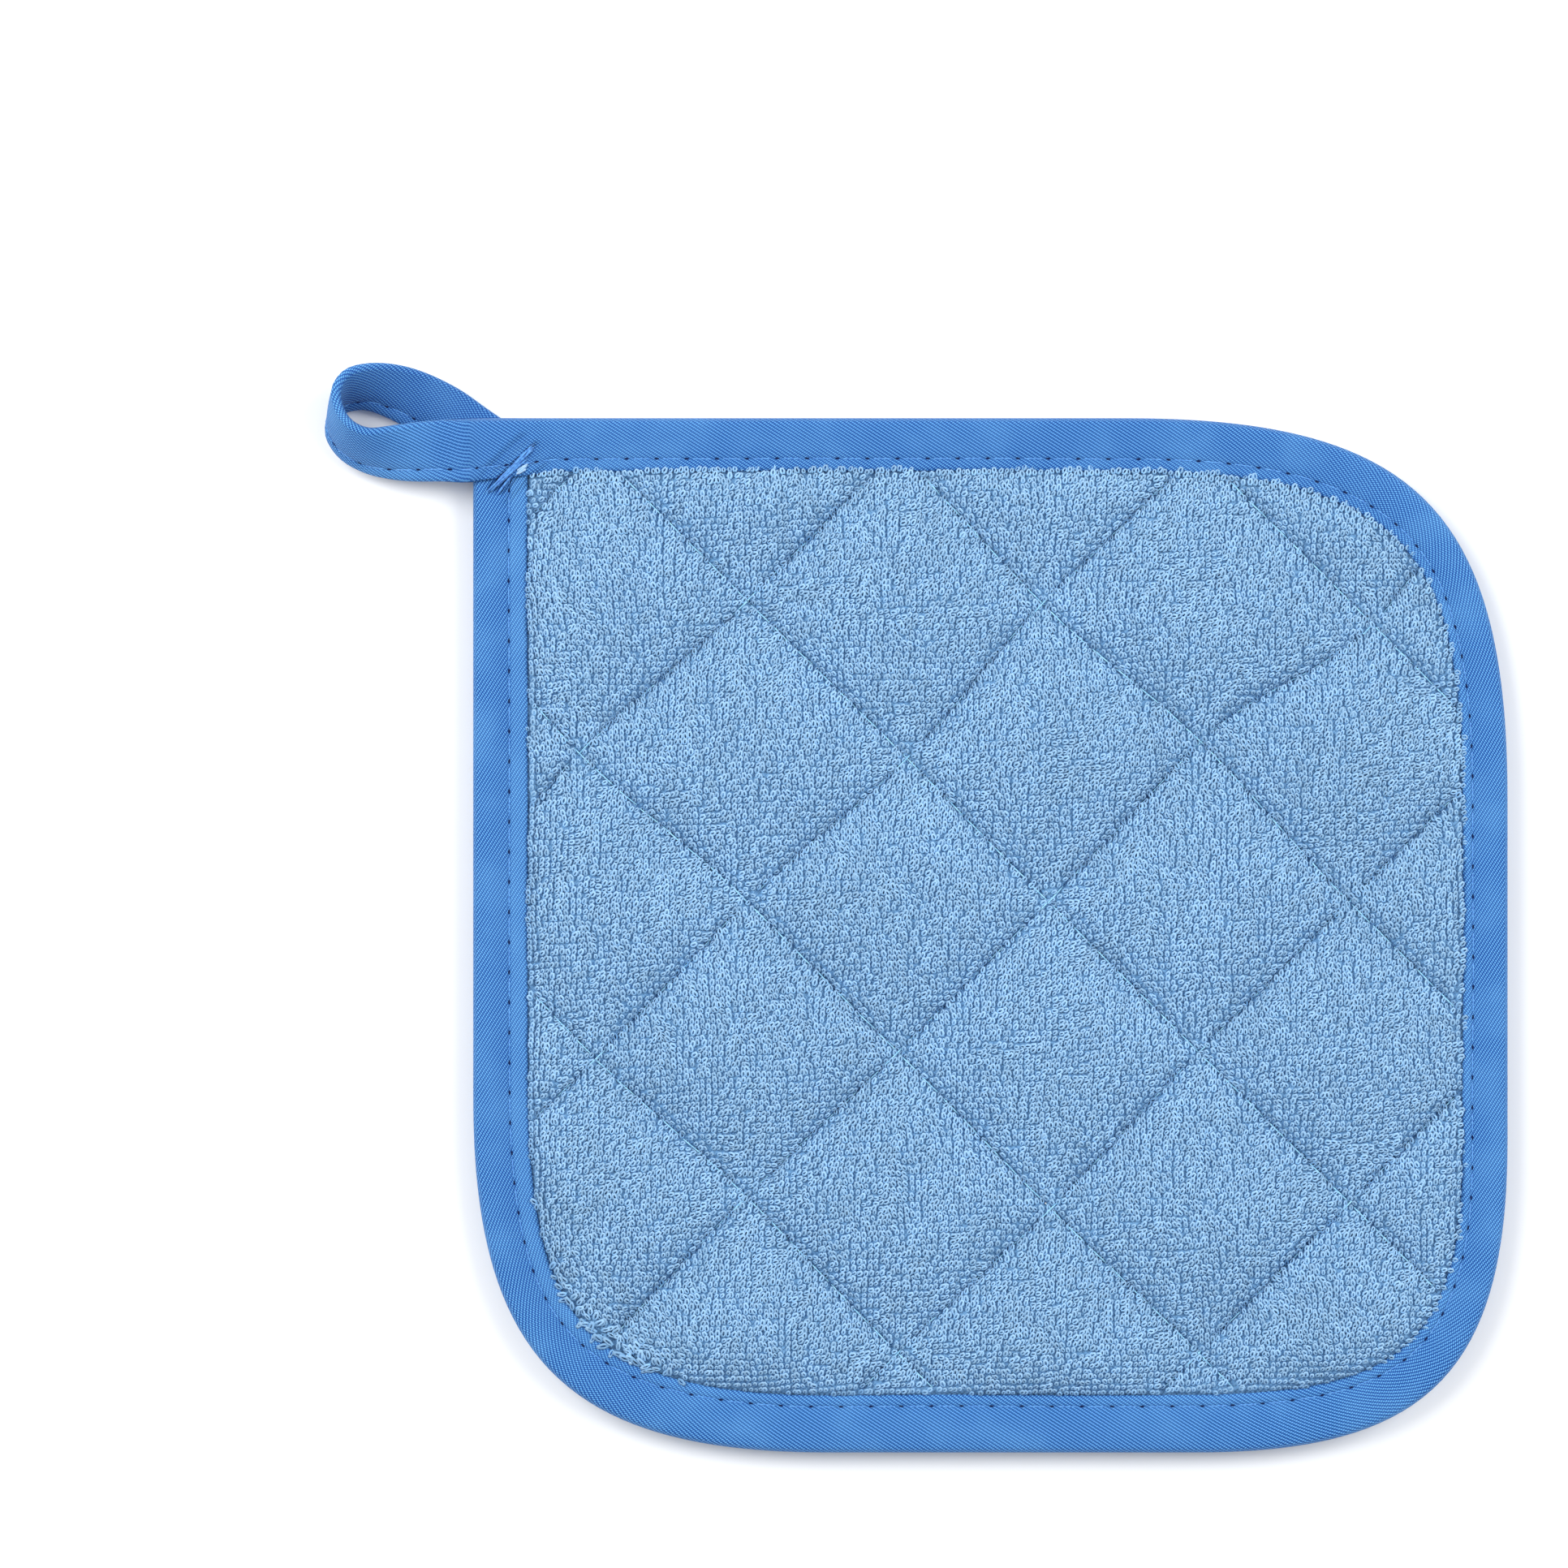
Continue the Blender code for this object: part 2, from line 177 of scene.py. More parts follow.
class Finish(Nodes):
    # one material: a Principled shader and what feeds it
    def __init__(self, name, **fixed):
        self.material = bpy.data.materials.new(name)
        self.material.use_nodes = True
        super().__init__(self.material.node_tree)
        self.shader = self.tree.nodes["Principled BSDF"]
        for key, value in fixed.items():
            self.shader.inputs[key.replace("_", " ")].default_value = value

    def attribute(self, name):
        return self.node("ShaderNodeAttribute", {"attribute_name": name}, output="Fac")

    def place(self):
        return self.node("ShaderNodeTexCoord", output="Object")

    def split(self, vector):
        node = addNode(self.tree, "ShaderNodeSeparateXYZ", {}, {0: vector})
        return [Value(self.tree, output) for output in node.outputs]

    def noise(self, vector, scale, detail=2.0, rough=0.5):
        return self.node("ShaderNodeTexNoise", {}, {
            "Vector": vector, "Scale": scale, "Detail": detail, "Roughness": rough})

    def mix(self, share, low, high, blend="MIX"):
        colours = {key: (*colour, 1.0) if isinstance(colour, tuple) else colour
                   for key, colour in ((6, low), (7, high))}
        return self.node("ShaderNodeMix", {"data_type": "RGBA", "blend_type": blend},
                         {0: share, **colours}, output=2)

    def coats(self, colour, *coats):
        # each coat: how much of it shows, and its tone
        for share, tone in coats:
            colour = self.mix(share, colour, tone)
        return colour

    def weave(self, x, y, warp, weft, coarse=0.0):
        # a plain weave: how high the thread on top stands, and 1 where that is a warp thread
        waves = []
        for turn, pitch in (warp, weft):
            angle, step = math.radians(turn), math.pi / (pitch * mm)
            waves.append((y * (math.cos(angle) * step) - x * (math.sin(angle) * step)).cosine())
        onTop = (waves[0] * waves[1]).between(-0.12, 0.12)
        ends = 0.3 + (waves[0] * waves[1]).size() * 0.7       # a thread sinks at the ends of its floats
        rounds = onTop * waves[0] ** 2 + (1 - onTop) * waves[1] ** 2
        ribs = 1 - coarse + waves[0] ** 2 * coarse            # the warp stands out in ribs
        return rounds * ends * ribs, onTop

    def bump(self, height, distance, under=None):
        below = {} if under is None else {"Normal": under}
        return self.node("ShaderNodeBump", {}, {"Height": height, "Distance": distance * mm, **below})

    def feed(self, **sockets):
        for key, value in sockets.items():
            self.tree.links.new(value.socket, self.shader.inputs[key.replace("_", " ")])
        return self.material


terryFinish = {
    # The root tone is darker than the body: painted shade low in the pile, where the loops stand close.
    "root": (0.23, 0.47, 0.745), "body": (0.298, 0.522, 0.77), "tip": (0.308, 0.514, 0.742),
    "bodyLevel": 0.4,             # how far up a loop its root's tone reaches
    # creased and crease: the tone and the strength of the painted shade in the seams' creases and along
    # the binding
    "creased": (0.09, 0.25, 0.50), "creaseShade": 0.85,
    "tone": (0.88, 0.24),         # the least, and how much more some loops have
    "blotches": ((55.0, 3.0, 0.18), (260.0, 2.0, 0.08)),      # scale, detail and strength
    "roughness": 0.92, "sheen": 0.06,
}


def terryYarn():
    look = Finish("terry_yarn", Roughness=terryFinish["roughness"], Sheen_Weight=terryFinish["sheen"],
                  Sheen_Roughness=0.5, Specular_IOR_Level=0.1)
    rise, tone, creased = (look.attribute(name) for name in ("rise", "tone", "creaseShade"))
    middle = terryFinish["bodyLevel"]
    # painted shade: each loop is darker towards its root
    lit = look.coats(terryFinish["root"], (rise.between(0.0, middle), terryFinish["body"]),
                     (rise.between(middle, 1.0), terryFinish["tip"]),
                     # painted shade in the seams' creases and along the binding
                     (creased * terryFinish["creaseShade"], terryFinish["creased"]))
    least, more = terryFinish["tone"]
    shade = least + tone * more
    for scale, detail, strength in terryFinish["blotches"]:
        shade = shade + (look.noise(look.place(), scale, detail) - 0.5) * strength
    grey = look.vector(shade, shade, shade)
    return look.feed(Base_Color=look.mix(1.0, lit, grey, blend="MULTIPLY"))


groundFinish = {
    # deep and pale: the ground cloth is painted a darker blue than the yarn, as painted shade in the gaps
    # between the loops; its mottle between the two is its own
    "deep": (0.15, 0.35, 0.62), "pale": (0.23, 0.46, 0.735), "creased": (0.04, 0.13, 0.32),
    "rib": 0.5, "fluff": 1600.0, "relief": 0.15,
}


def terryGround():
    look = Finish("terry_ground", Roughness=0.95, Specular_IOR_Level=0.2)
    place = look.place()
    x, y, _ = look.split(place)
    step = math.pi / (groundFinish["rib"] * mm)
    ribs = (x * step).cosine() * (y * step).cosine()
    fluff = look.noise(place, groundFinish["fluff"], detail=3.0, rough=0.7)
    colour = look.coats(groundFinish["deep"], (fluff.between(0.3, 0.7), groundFinish["pale"]),
                        # painted shade in the seams' creases and along the binding
                        (look.attribute("creaseShade") * terryFinish["creaseShade"], groundFinish["creased"]))
    return look.feed(Base_Color=colour, Normal=look.bump(ribs + fluff * 3, groundFinish["relief"]))


silverFinish = {
    "pale": (0.74, 0.78, 0.82), "deep": (0.46, 0.50, 0.55), "worn": (0.62, 0.68, 0.74),
    "warp": (37.0, 0.50), "weft": (147.0, 0.47),      # degrees, and from thread to thread
    "metal": 0.25, "roughness": 0.36, "relief": 0.06, "sheen": 0.15,
    "wear": 60.0, "fine": 900.0,      # how fine the worn patches and the thread's grain are
}


def silverCloth():
    look = Finish("silver_cloth", Metallic=silverFinish["metal"], Sheen_Weight=silverFinish["sheen"],
                  Sheen_Roughness=0.4)
    place = look.place()
    x, y, _ = look.split(place)
    weave, _ = look.weave(x, y, silverFinish["warp"], silverFinish["weft"])
    wear = look.noise(place, silverFinish["wear"], detail=4.0)
    fine = look.noise(place, silverFinish["fine"])
    colour = look.coats(silverFinish["deep"], (weave.between(0.0, 0.8), silverFinish["pale"]),
                        (wear.between(0.35, 0.75) * 0.35, silverFinish["worn"]))
    rough = silverFinish["roughness"] + (wear - 0.5) * 0.2 + fine * 0.06
    return look.feed(Base_Color=colour, Roughness=rough,
                     Normal=look.bump(weave + fine * 0.3, silverFinish["relief"]))


tapeFinish = {
    "pale": (0.205, 0.525, 0.92), "mid": (0.056, 0.262, 0.65), "deep": (0.006, 0.05, 0.25),
    # cut on the bias: degrees from the tape's own direction, and from thread to thread
    "warp": (-32.5, 0.585), "weft": (37.5, 0.387), "ribs": 0.4, "relief": 0.12,
    "roughness": 0.7, "sheen": 0.08, "fuzz": 2500.0, "wear": 90.0,
    "worn": 0.15, "grooveShade": 0.16, "foldShade": 0.35,
    "hole": (0.47, 0.2),          # half length and half width of a needle hole
    # painted shade in the needle holes
    "holeShade": (0.003, 0.012, 0.07),
    "strip": (0.12, 0.10),        # shade outside the stitches, light inside them
    "tack": ((-93.4, 91.8), 44.0, 6.2),   # middle, degrees and half length of the corner's tack
    "trough": 1.1, "folds": (1.55, 0.012, 6.0),       # how close, how bent and how far out they lie
}


def tapeCloth(stitchPitch):
    pale, mid, deep = (tapeFinish[name] for name in ("pale", "mid", "deep"))
    look = Finish("tape_cloth", Sheen_Weight=tapeFinish["sheen"], Sheen_Roughness=0.4,
                  Specular_IOR_Level=0.2)
    along, across, _ = look.split(look.node("ShaderNodeUVMap", {"uv_map": "cloth"}))
    place = look.place()
    height, warpOnTop = look.weave(along * mm, across * -mm, tapeFinish["warp"], tapeFinish["weft"],
                                   tapeFinish["ribs"])
    fuzz = look.noise(place, tapeFinish["fuzz"])
    wear = look.noise(place, tapeFinish["wear"], detail=3.0)

    off = look.attribute("offStitch")         # outwards from the stitches
    # the strip by the stitches: painted shade outside them and painted light inside them
    share = look.attribute("strip")           # how far the strip inside them stands out
    holeLong, holeWide = tapeFinish["hole"]
    slip = ((along / stitchPitch + 0.5).fraction() - 0.5) * stitchPitch / holeLong
    side = off / holeWide
    hole = 1 - (slip * slip + side * side).between(0.5, 1.3)
    # painted shade along the stitches' groove
    groove = 1 - (side / 2.5).size().between(0.0, 1.0)
    outside, inside = tapeFinish["strip"]
    shade = off.between(-0.4, 0.3) * (1 - off.between(0.5, 4.5)) * share

    # the corner's tack draws the cloth into a trough, with folds beside it; bumps and painted shade show
    # them
    middle, turn, reach = tapeFinish["tack"]
    x, y, _ = look.split(place)
    x, y = (value / mm - (at + start / mm) for value, at, start in zip((x, y), middle, padMiddle))
    cosine, sine = math.cos(math.radians(turn)), math.sin(math.radians(turn))
    run, beside = x * cosine + y * sine, y * cosine - x * sine
    near = 1 - (run.size() / reach).between(0.75, 1.25)
    trough = near * (1 - (beside.size() / tapeFinish["trough"]).between(0.0, 1.0))
    close, bent, out = tapeFinish["folds"]
    waves = (beside * close + run * run * bent).sine()
    folds = waves * near * (1 - (beside.size() / out).between(0.3, 1.0))

    sunken = trough + (folds * -0.5).between(0.0, 1.0)
    # over the weave and the wear: painted shade along the stitches' groove and outside them, painted light
    # on the strip inside them, painted shade on the top and the loop's inner side and in the tack's trough
    # and folds, and painted shade in the needle holes
    colour = look.coats(
        deep, (height.between(0.0, 0.4), mid), (height.between(0.3, 0.85) * (1 - warpOnTop * 0.35), pale),
        (wear.between(0.35, 0.8) * tapeFinish["worn"], pale),
        (groove * tapeFinish["grooveShade"] + shade * outside, deep),
        ((1 - off.between(-0.7, -0.2)) * share * inside, pale), (look.attribute("depth"), deep),
        (sunken * tapeFinish["foldShade"], deep), (hole, tapeFinish["holeShade"]))
    rough = tapeFinish["roughness"] + (wear - 0.5) * 0.15 + hole * 0.3
    creased = look.bump(folds * 0.5 - trough, 1.0)
    normal = look.bump(height + fuzz * 0.3 - groove - hole, tapeFinish["relief"], under=creased)
    return look.feed(Base_Color=colour, Roughness=rough, Normal=normal)


threads = {                       # pale and deep tone of each
    "blue_thread": ((0.12, 0.38, 0.80), (0.05, 0.22, 0.60)),
    "tack_thread": ((0.09, 0.33, 0.74), (0.03, 0.16, 0.50)),
    "pale_thread": ((0.42, 0.62, 0.85), (0.25, 0.47, 0.75)),
    "cyan_thread": ((0.36, 0.72, 0.88), (0.18, 0.46, 0.70)),
    "white_thread": ((0.85, 0.88, 0.9), (0.6, 0.65, 0.7)),
}
threadLook = {"roughness": 0.45, "sheen": 0.3, "ply": 1800.0, "relief": 0.04}


def threadFinish(name):
    pale, deep = threads[name]
    look = Finish(name, Roughness=threadLook["roughness"], Sheen_Weight=threadLook["sheen"],
                  Specular_IOR_Level=0.5)
    ply = look.noise(look.place(), threadLook["ply"])
    return look.feed(Base_Color=look.mix(ply.between(0.35, 0.65), deep, pale),
                     Normal=look.bump(ply, threadLook["relief"]))


pad = {
    # how far before the corner each bend starts, and how square it is
    "bottomLeft": (69.5, 0.735), "bottomRight": (61.0, 0.742), "topRight": (74.5, 0.757),
    # on the left, at the bottom, on the right and at the top
    "leaf": (10.8, 11.4, 9.0, 10.5), "stitch": (3.6, 2.2, 1.9, 2.4),
    # strip: painted light inside the stitches and painted shade outside them; depth: painted shade on the
    # tape, most along the top
    "strip": (1.0, 0.2, 0.5, 0.0), "depth": (0.02, 0.02, 0.0, 0.15),
    "edgeStep": 0.5, "wobble": (30.0, 6.0, 0.22),     # size, seed and strength of the leaf's wobble
    "middleLevel": 4.5, "crown": 9.4, "terrySeam": 6.4, "backSeam": 2.7,
    "pressed": 0.95,              # half of what the two panels measure under the binding
    "panelGap": 0.15,             # from the middle to each panel's flat face
    "panelInset": 2.3,            # how far the panels stop inside the pad's edge
    "clear": (0.4, 1.4),          # from where past the leaf the cloth comes free, and over how far
    "lowest": 0.02,               # the cloths lie no lower than this over the table
}


def bendPoints(corner, into, out, reach, pull, steps=80):
    t = np.linspace(0, 1, steps + 1)[:, None]
    start, end = corner - into * reach, corner + out * reach
    first, second = start + into * reach * pull, end - out * reach * pull
    return ((1 - t) ** 3 * start + 3 * (1 - t) ** 2 * t * first
            + 3 * (1 - t) * t * t * second + t ** 3 * end)


def lengthAlong(line):
    return np.concatenate(([0], np.cumsum(np.linalg.norm(np.diff(line, axis=0), axis=1))))


def readAlong(at, lengths, rows):
    return np.stack([np.interp(at, lengths, column) for column in rows.T], 1)


def evenly(points, step):
    # the same line with its points an even step apart
    lengths = lengthAlong(points)
    count = max(2, round(lengths[-1] / step) + 1)
    return readAlong(np.linspace(0, lengths[-1], count), lengths, points)


def unit(rows):
    return rows / np.linalg.norm(rows, axis=1)[:, None]


def padOutline():
    # from the square corner down the left side and round, with the inward direction at each point
    down, right = np.array((0.0, -1.0)), np.array((1.0, 0.0))
    h = halfSide
    line = np.concatenate([
        [(-h, h)],
        bendPoints(np.array((-h, -h)), down, right, *pad["bottomLeft"]),
        bendPoints(np.array((h, -h)), right, -down, *pad["bottomRight"]),
        bendPoints(np.array((h, h)), -down, -right, *pad["topRight"]),
        [(-h, h)],
    ])
    points = evenly(line, pad["edgeStep"])
    along = np.gradient(points, axis=0)
    along[0], along[-1] = down, -right
    along = unit(along)
    return points, np.stack([-along[:, 1], along[:, 0]], 1)


edgePoints, edgeInward = padOutline()
edgeTree = kdtree.KDTree(len(edgePoints))
for number, (x, y) in enumerate(edgePoints):
    edgeTree.insert((x, y, 0.0), number)
edgeTree.balance()


def wander(xy, scale, seed):
    # smooth noise from -1 to 1, "scale" millimetres across
    return np.array([noise.noise(Vector((x / scale, y / scale, seed))) for x, y in xy])


def perSide(kind, inward):
    # a width that differs from side to side, blended round the corners
    left, bottom, right, top = pad[kind]
    across = np.where(inward[:, 0] > 0, left, right)
    level = np.where(inward[:, 1] > 0, bottom, top)
    share = inward[:, 0] ** 2
    return across * share + level * (1 - share)


def leafWidth(points, inward):
    wide, seed, strength = pad["wobble"]
    return perSide("leaf", inward) + wander(points, wide, seed) * strength


edgeLeaf = leafWidth(edgePoints, edgeInward)


def pastLeaf(xy):
    # how far inside the binding's inner edge each point lies, and the way to that edge
    found = np.array([edgeTree.find((x, y, 0.0))[1] for x, y in xy])
    offset = xy - edgePoints[found]
    inset = np.linalg.norm(offset, axis=1) * np.sign((offset * edgeInward[found]).sum(1))
    return inset - edgeLeaf[found], -edgeInward[found]


def outOfBinding(past):
    start, reach = pad["clear"]
    return np.clip((past - start) / reach, 0, 1)


quilt = {
    "pitch": 59.0, "crossing": (11.3, 6.6), "power": 2.7, "rimReach": 10.0, "rimStart": 0.1,
    "crossReach": 3.2,            # how far out a crossing lies open
    "crossRise": 0.4,             # how far it stands up
    "crossOpen": 0.8,             # how much of the seams' shade it loses
    "tightness": (25.0, 31.0),    # size and seed of the patches where seams are drawn in more
    # crossings sewn off the lattice: p, q and how far
    "strays": ((2, 0, 4.6, -4.6), (-1, -2, -3.4, -0.4), (0, -1, 1.8, -1.4), (1, -1, -1.1, -0.6),
               (1, 0, 0.4, 1.8), (-2, -1, -0.2, -1.3), (-2, 0, -0.2, 1.2), (-1, 1, 0.5, -1.2)),
}


def strayed(p, q):
    move = np.zeros((len(p), 2))
    for atP, atQ, x, y in quilt["strays"]:
        awayP, awayQ = np.clip(abs(p - atP), 0, 1), np.clip(abs(q - atQ), 0, 1)
        weight = (np.cos(awayP * math.pi / 2) * np.cos(awayQ * math.pi / 2)) ** 2
        move += weight[:, None] * (x, y)
    return move


def quiltPoint(p, q):
    # p counts the falling seams and q the rising ones
    p, q = np.broadcast_arrays(np.asarray(p, float), np.asarray(q, float))
    return (np.stack([(p + q) / 2, (p - q) / 2], 1) * quilt["pitch"]
            + quilt["crossing"] + strayed(p, q))


def quiltPlace(xy):
    p = q = np.zeros(len(xy))
    for _ in range(12):
        offset = (xy - quilt["crossing"] - strayed(p, q)) / quilt["pitch"]
        p, q = offset[:, 0] + offset[:, 1], offset[:, 0] - offset[:, 1]
    return p, q


def seamDistance(values):
    return abs(values - np.round(values)) * quilt["pitch"] / math.sqrt(2)


def puff(p, q, past):
    # 1 in the middle of a diamond, 0 on the seams and at the binding
    share = 1.0
    for value in (p, q):
        share = share * (1 - (1 - 2 * abs(value - np.round(value))) ** quilt["power"])
    rim = np.clip((past - quilt["rimStart"]) / quilt["rimReach"], 0, 1)
    return share * (1 - (1 - rim) ** quilt["power"])


def fading(distance, reach):
    return np.exp(-(distance / reach) ** 2)


def crossing(away):
    # 1 where two seams cross and the cloth lies open, 0 away from there
    return np.exp(-(away[0] ** 2 + away[1] ** 2) / quilt["crossReach"] ** 2)


def tightness(xy):
    # the seams are drawn in more here and less there
    return wander(xy, *quilt["tightness"])


terry = {
    "groove": 1.7, "grooveReach": 0.6, "grooveSpread": (0.9, 0.5),   # the seams draw the cloth in
    "fallingOver": 1.5,           # falling seams run on over the rising ones
    "swell": (14.0, 3.1, 0.3),    # size, seed and strength of the unevenness
    "shoulder": (0.2, 1.2),       # where the cloth comes up out of the binding, and how far
    "rimReach": 1.6, "rimSwell": 0.6, "lowest": 0.5,
    # shade: on a falling seam against a rising one, and along the binding
    "creaseReach": 0.55, "creaseSpread": (0.85, 0.6), "fallingShade": 0.6,
    "rimShade": 0.25, "rimShadeReach": 0.7, "rimShadeBelow": 1.2,
    "across": 1.05, "along": 1.075, "rowRise": 0.05,     # from loop to loop
    "drift": (17.0, (1.5, 8.5), 0.8), "jitter": 0.1,     # size, seeds and strength
    "start": 0.1,                 # how far past the leaf the first loops stand
    # loops keep this far off the falling seams' thread and the rising ones', and nearer than the
    # third to a falling seam they cover the rising ones' thread
    "threadRoom": (0.3, 0.16, 2.2),
    "ring": {"Yarn radius": 0.235, "Ring width": 0.66, "Ring height": 0.8, "Ring lean": 1.12},
    # a ring starts this share of its lean behind its point, and of its height above it
    "ringBack": 0.1, "ringFoot": 0.4,
    "rootAngle": 0.3, "rootDepth": 0.12, "sizeSpread": 0.18, "turnSpread": 0.5, "bands": 5, "seed": 7,
    "nap": 1.3, "napTurns": ((30.0, 12.0, 1.0), (5.0, 20.0, 1.2)),   # size, seed and strength
    "slopeStep": 1.3,
    # the outermost loops stand level with the tape, and taller, more upright and shorter
    "rimRise": 0.6, "rimTall": 0.3, "rimUpright": 0.75, "rimShort": 0.2,
    # at the top and, less, on the right they lap over the tape a little
    "lapRight": 0.6, "lapLean": 0.3, "lapShort": (0.45, 0.25),
    # worn loops that lie long and loose along a corner: the line's points and how wide it is
    "fluff": ((-91.5, -52.0), (-89.5, -60.0), (-86.3, -68.5), (-80.5, -75.8), (-73.3, -80.5),
              (-66.5, -85.0), (-62.0, -88.0)),
    "fluffReach": 2.0, "fluffTall": 0.35, "fluffLong": 0.9, "fluffTurn": (2.0, 33.0, 5.0),
}


def creaseShade(xy):
    # painted shade: 1 on a rising seam, less on a falling one and along the binding, 0 away from them
    past, outward = pastLeaf(xy)
    away = [seamDistance(line) for line in quiltPlace(xy)]
    falling, rising = (fading(near, terry["creaseReach"]) for near in away)
    least, more = terry["creaseSpread"]
    shut = (1 - quilt["crossOpen"] * crossing(away)) * (least + more * tightness(xy))
    below = (-outward.sum(1)).clip(0, 1)          # darker at the bottom and on the left
    rim = fading(np.maximum(past, 0), terry["rimShadeReach"]) * (1 + terry["rimShadeBelow"] * below)
    return np.maximum(np.maximum(terry["fallingShade"] * falling, rising) * shut, terry["rimShade"] * rim)


def terryGroundLevel(xy):
    # height of the ground cloth that the loops stand on
    past, _ = pastLeaf(xy)
    p, q = quiltPlace(xy)
    swell = puff(p, q, past)
    before, reach = terry["shoulder"]
    pressed = pad["middleLevel"] + pad["pressed"]
    seam = pressed + (pad["terrySeam"] - pressed) * np.clip((past + before) / reach, 0, 1)
    top = seam + (pad["crown"] - pad["terrySeam"]) * swell
    wide, seed, strength = terry["swell"]
    top += wander(xy, wide, seed) * strength * swell
    away = seamDistance(p), seamDistance(q)
    opened = crossing(away) * outOfBinding(past)
    near = np.minimum(away[0], away[1] + opened * terry["fallingOver"])
    least, more = terry["grooveSpread"]
    depth = terry["groove"] * (least + more * tightness(xy))
    groove = depth * fading(near, terry["grooveReach"]) * outOfBinding(past)
    top += quilt["crossRise"] * opened - groove
    level = top - terry["ring"]["Ring height"] + terry["rimSwell"] * fading(past, terry["rimReach"])
    return np.maximum(level, pad["middleLevel"] + terry["lowest"])


silver = {
    "belly": 0.35,                # how far the diamonds hang below the floor, before it flattens them
    "pucker": 0.5, "puckerLength": 6.2, "puckerReach": 5.0, "puckerStart": 1.2,
    "puckerDrift": (9.0, 5.0, 3.0),       # size, seed and strength
    "puckerPatches": (16.0, 9.0), "puckerSpread": (0.4, 0.9),      # stronger here and weaker there
    "groove": 0.7, "grooveReach": 0.9, "swell": (22.0, 2.0, 0.35),
}


def silverLevel(xy):
    past, _ = pastLeaf(xy)
    p, q = quiltPlace(xy)
    clear = outOfBinding(past)
    pressed = pad["middleLevel"] - pad["pressed"]
    seam = pressed + (pad["backSeam"] - pressed) * clear
    level = seam - (pad["backSeam"] + silver["belly"]) * puff(p, q, past)
    # small folds that run off each seam, one for every stitch or so
    driftWide, driftSeed, drift = silver["puckerDrift"]
    patchWide, patchSeed = silver["puckerPatches"]
    least, more = silver["puckerSpread"]
    for line, run, seed in ((p, q, 0.0), (q, p, 40.0)):
        away = seamDistance(line)
        turn = run * quilt["pitch"] / silver["puckerLength"] * 2 * math.pi
        irregular = wander(xy, driftWide, driftSeed + seed) * drift
        strength = least + more * abs(wander(xy, patchWide, patchSeed + seed))
        fade = fading(away, silver["puckerReach"]) * (1 - fading(away, silver["puckerStart"]))
        level = level + np.sin(turn + irregular) * silver["pucker"] * strength * fade
        level = level + silver["groove"] * fading(away, silver["grooveReach"]) * clear
    wide, seed, strength = silver["swell"]
    level += wander(xy, wide, seed) * strength * clear
    return np.maximum(level, pad["lowest"])


net = {
    # points along a diamond's side, how they crowd at the seams, and rings along the binding
    "front": (22, 0.55, (0.4, 1.4, 2.8, 4.6)), "back": (30, 0.5, (0.4, 1.2, 2.2, 3.4, 4.8)),
    "rimEvery": 4, "seamRoom": 0.4, "pointRoom": 0.8, "merge": 0.01,
}


def netShares(count, crowd):
    # shares of a diamond's side, closer together beside the seams
    even = np.arange(count) / count
    return even - crowd * np.sin(2 * math.pi * even) / (2 * math.pi)


def quiltedSheet(panel):
    # flat net of triangles over a panel, with edges along the seams and the binding
    count, crowd, rimRings = net[panel]
    shares = netShares(count, crowd)
    points, edges = [], []

    def addLine(line, closed):
        first, count = len(points), len(line)
        points.extend(Vector(point) for point in line)
        edges.extend((first + i, first + i + 1) for i in range(count - 1))
        if closed:
            edges.append((first + count - 1, first))

    ring = slice(0, len(edgePoints) - 1, net["rimEvery"])
    base, inward, leaf = edgePoints[ring], edgeInward[ring].copy(), edgeLeaf[ring, None]
    inward[0] = (1.0, -1.0)       # the square corner insets along its diagonal
    rim = base + inward * pad["panelInset"]
    addLine(rim, True)
    for extra in rimRings:
        addLine(base + inward * (leaf + extra), True)
    span = math.ceil(2 * halfSide / quilt["pitch"])
    lines = np.concatenate([cell + shares for cell in range(-span, span + 1)])
    for seam in range(-span, span + 1):
        for run in (quiltPoint(seam, lines), quiltPoint(lines, seam)):
            run = run[pastLeaf(run)[0] > rimRings[0] + net["seamRoom"]]
            if len(run) > 1:
                addLine(run, False)
    inner = lines[abs(lines - np.round(lines)) > 1e-6]
    free = quiltPoint(*(grid.ravel() for grid in np.meshgrid(inner, inner)))
    free = free[(abs(free) < halfSide).all(1)]
    free = free[pastLeaf(free)[0] > rimRings[-1] + net["pointRoom"]]
    points.extend(Vector(point) for point in free)
    flat, _, faces, *_ = delaunay_2d_cdt(points, edges, [tuple(range(len(rim)))], 1, net["merge"])
    return np.array([tuple(point) for point in flat]), faces


sharpFrom = math.radians(60)      # a bend this sharp shows as an edge


def addPiece(name, points, faces, material):
    mesh = bpy.data.meshes.new(name)
    mesh.from_pydata(rowPoints(points).tolist(), [], [tuple(map(int, face)) for face in faces])
    mesh.materials.append(material)
    shape = bmesh.new()
    shape.from_mesh(mesh)
    bmesh.ops.recalc_face_normals(shape, faces=shape.faces)
    shape.to_mesh(mesh)
    shape.free()
    mesh.shade_smooth()
    mesh.set_sharp_from_angle(angle=sharpFrom)
    piece = linked(name, mesh)
    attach(piece, "root")
    return piece


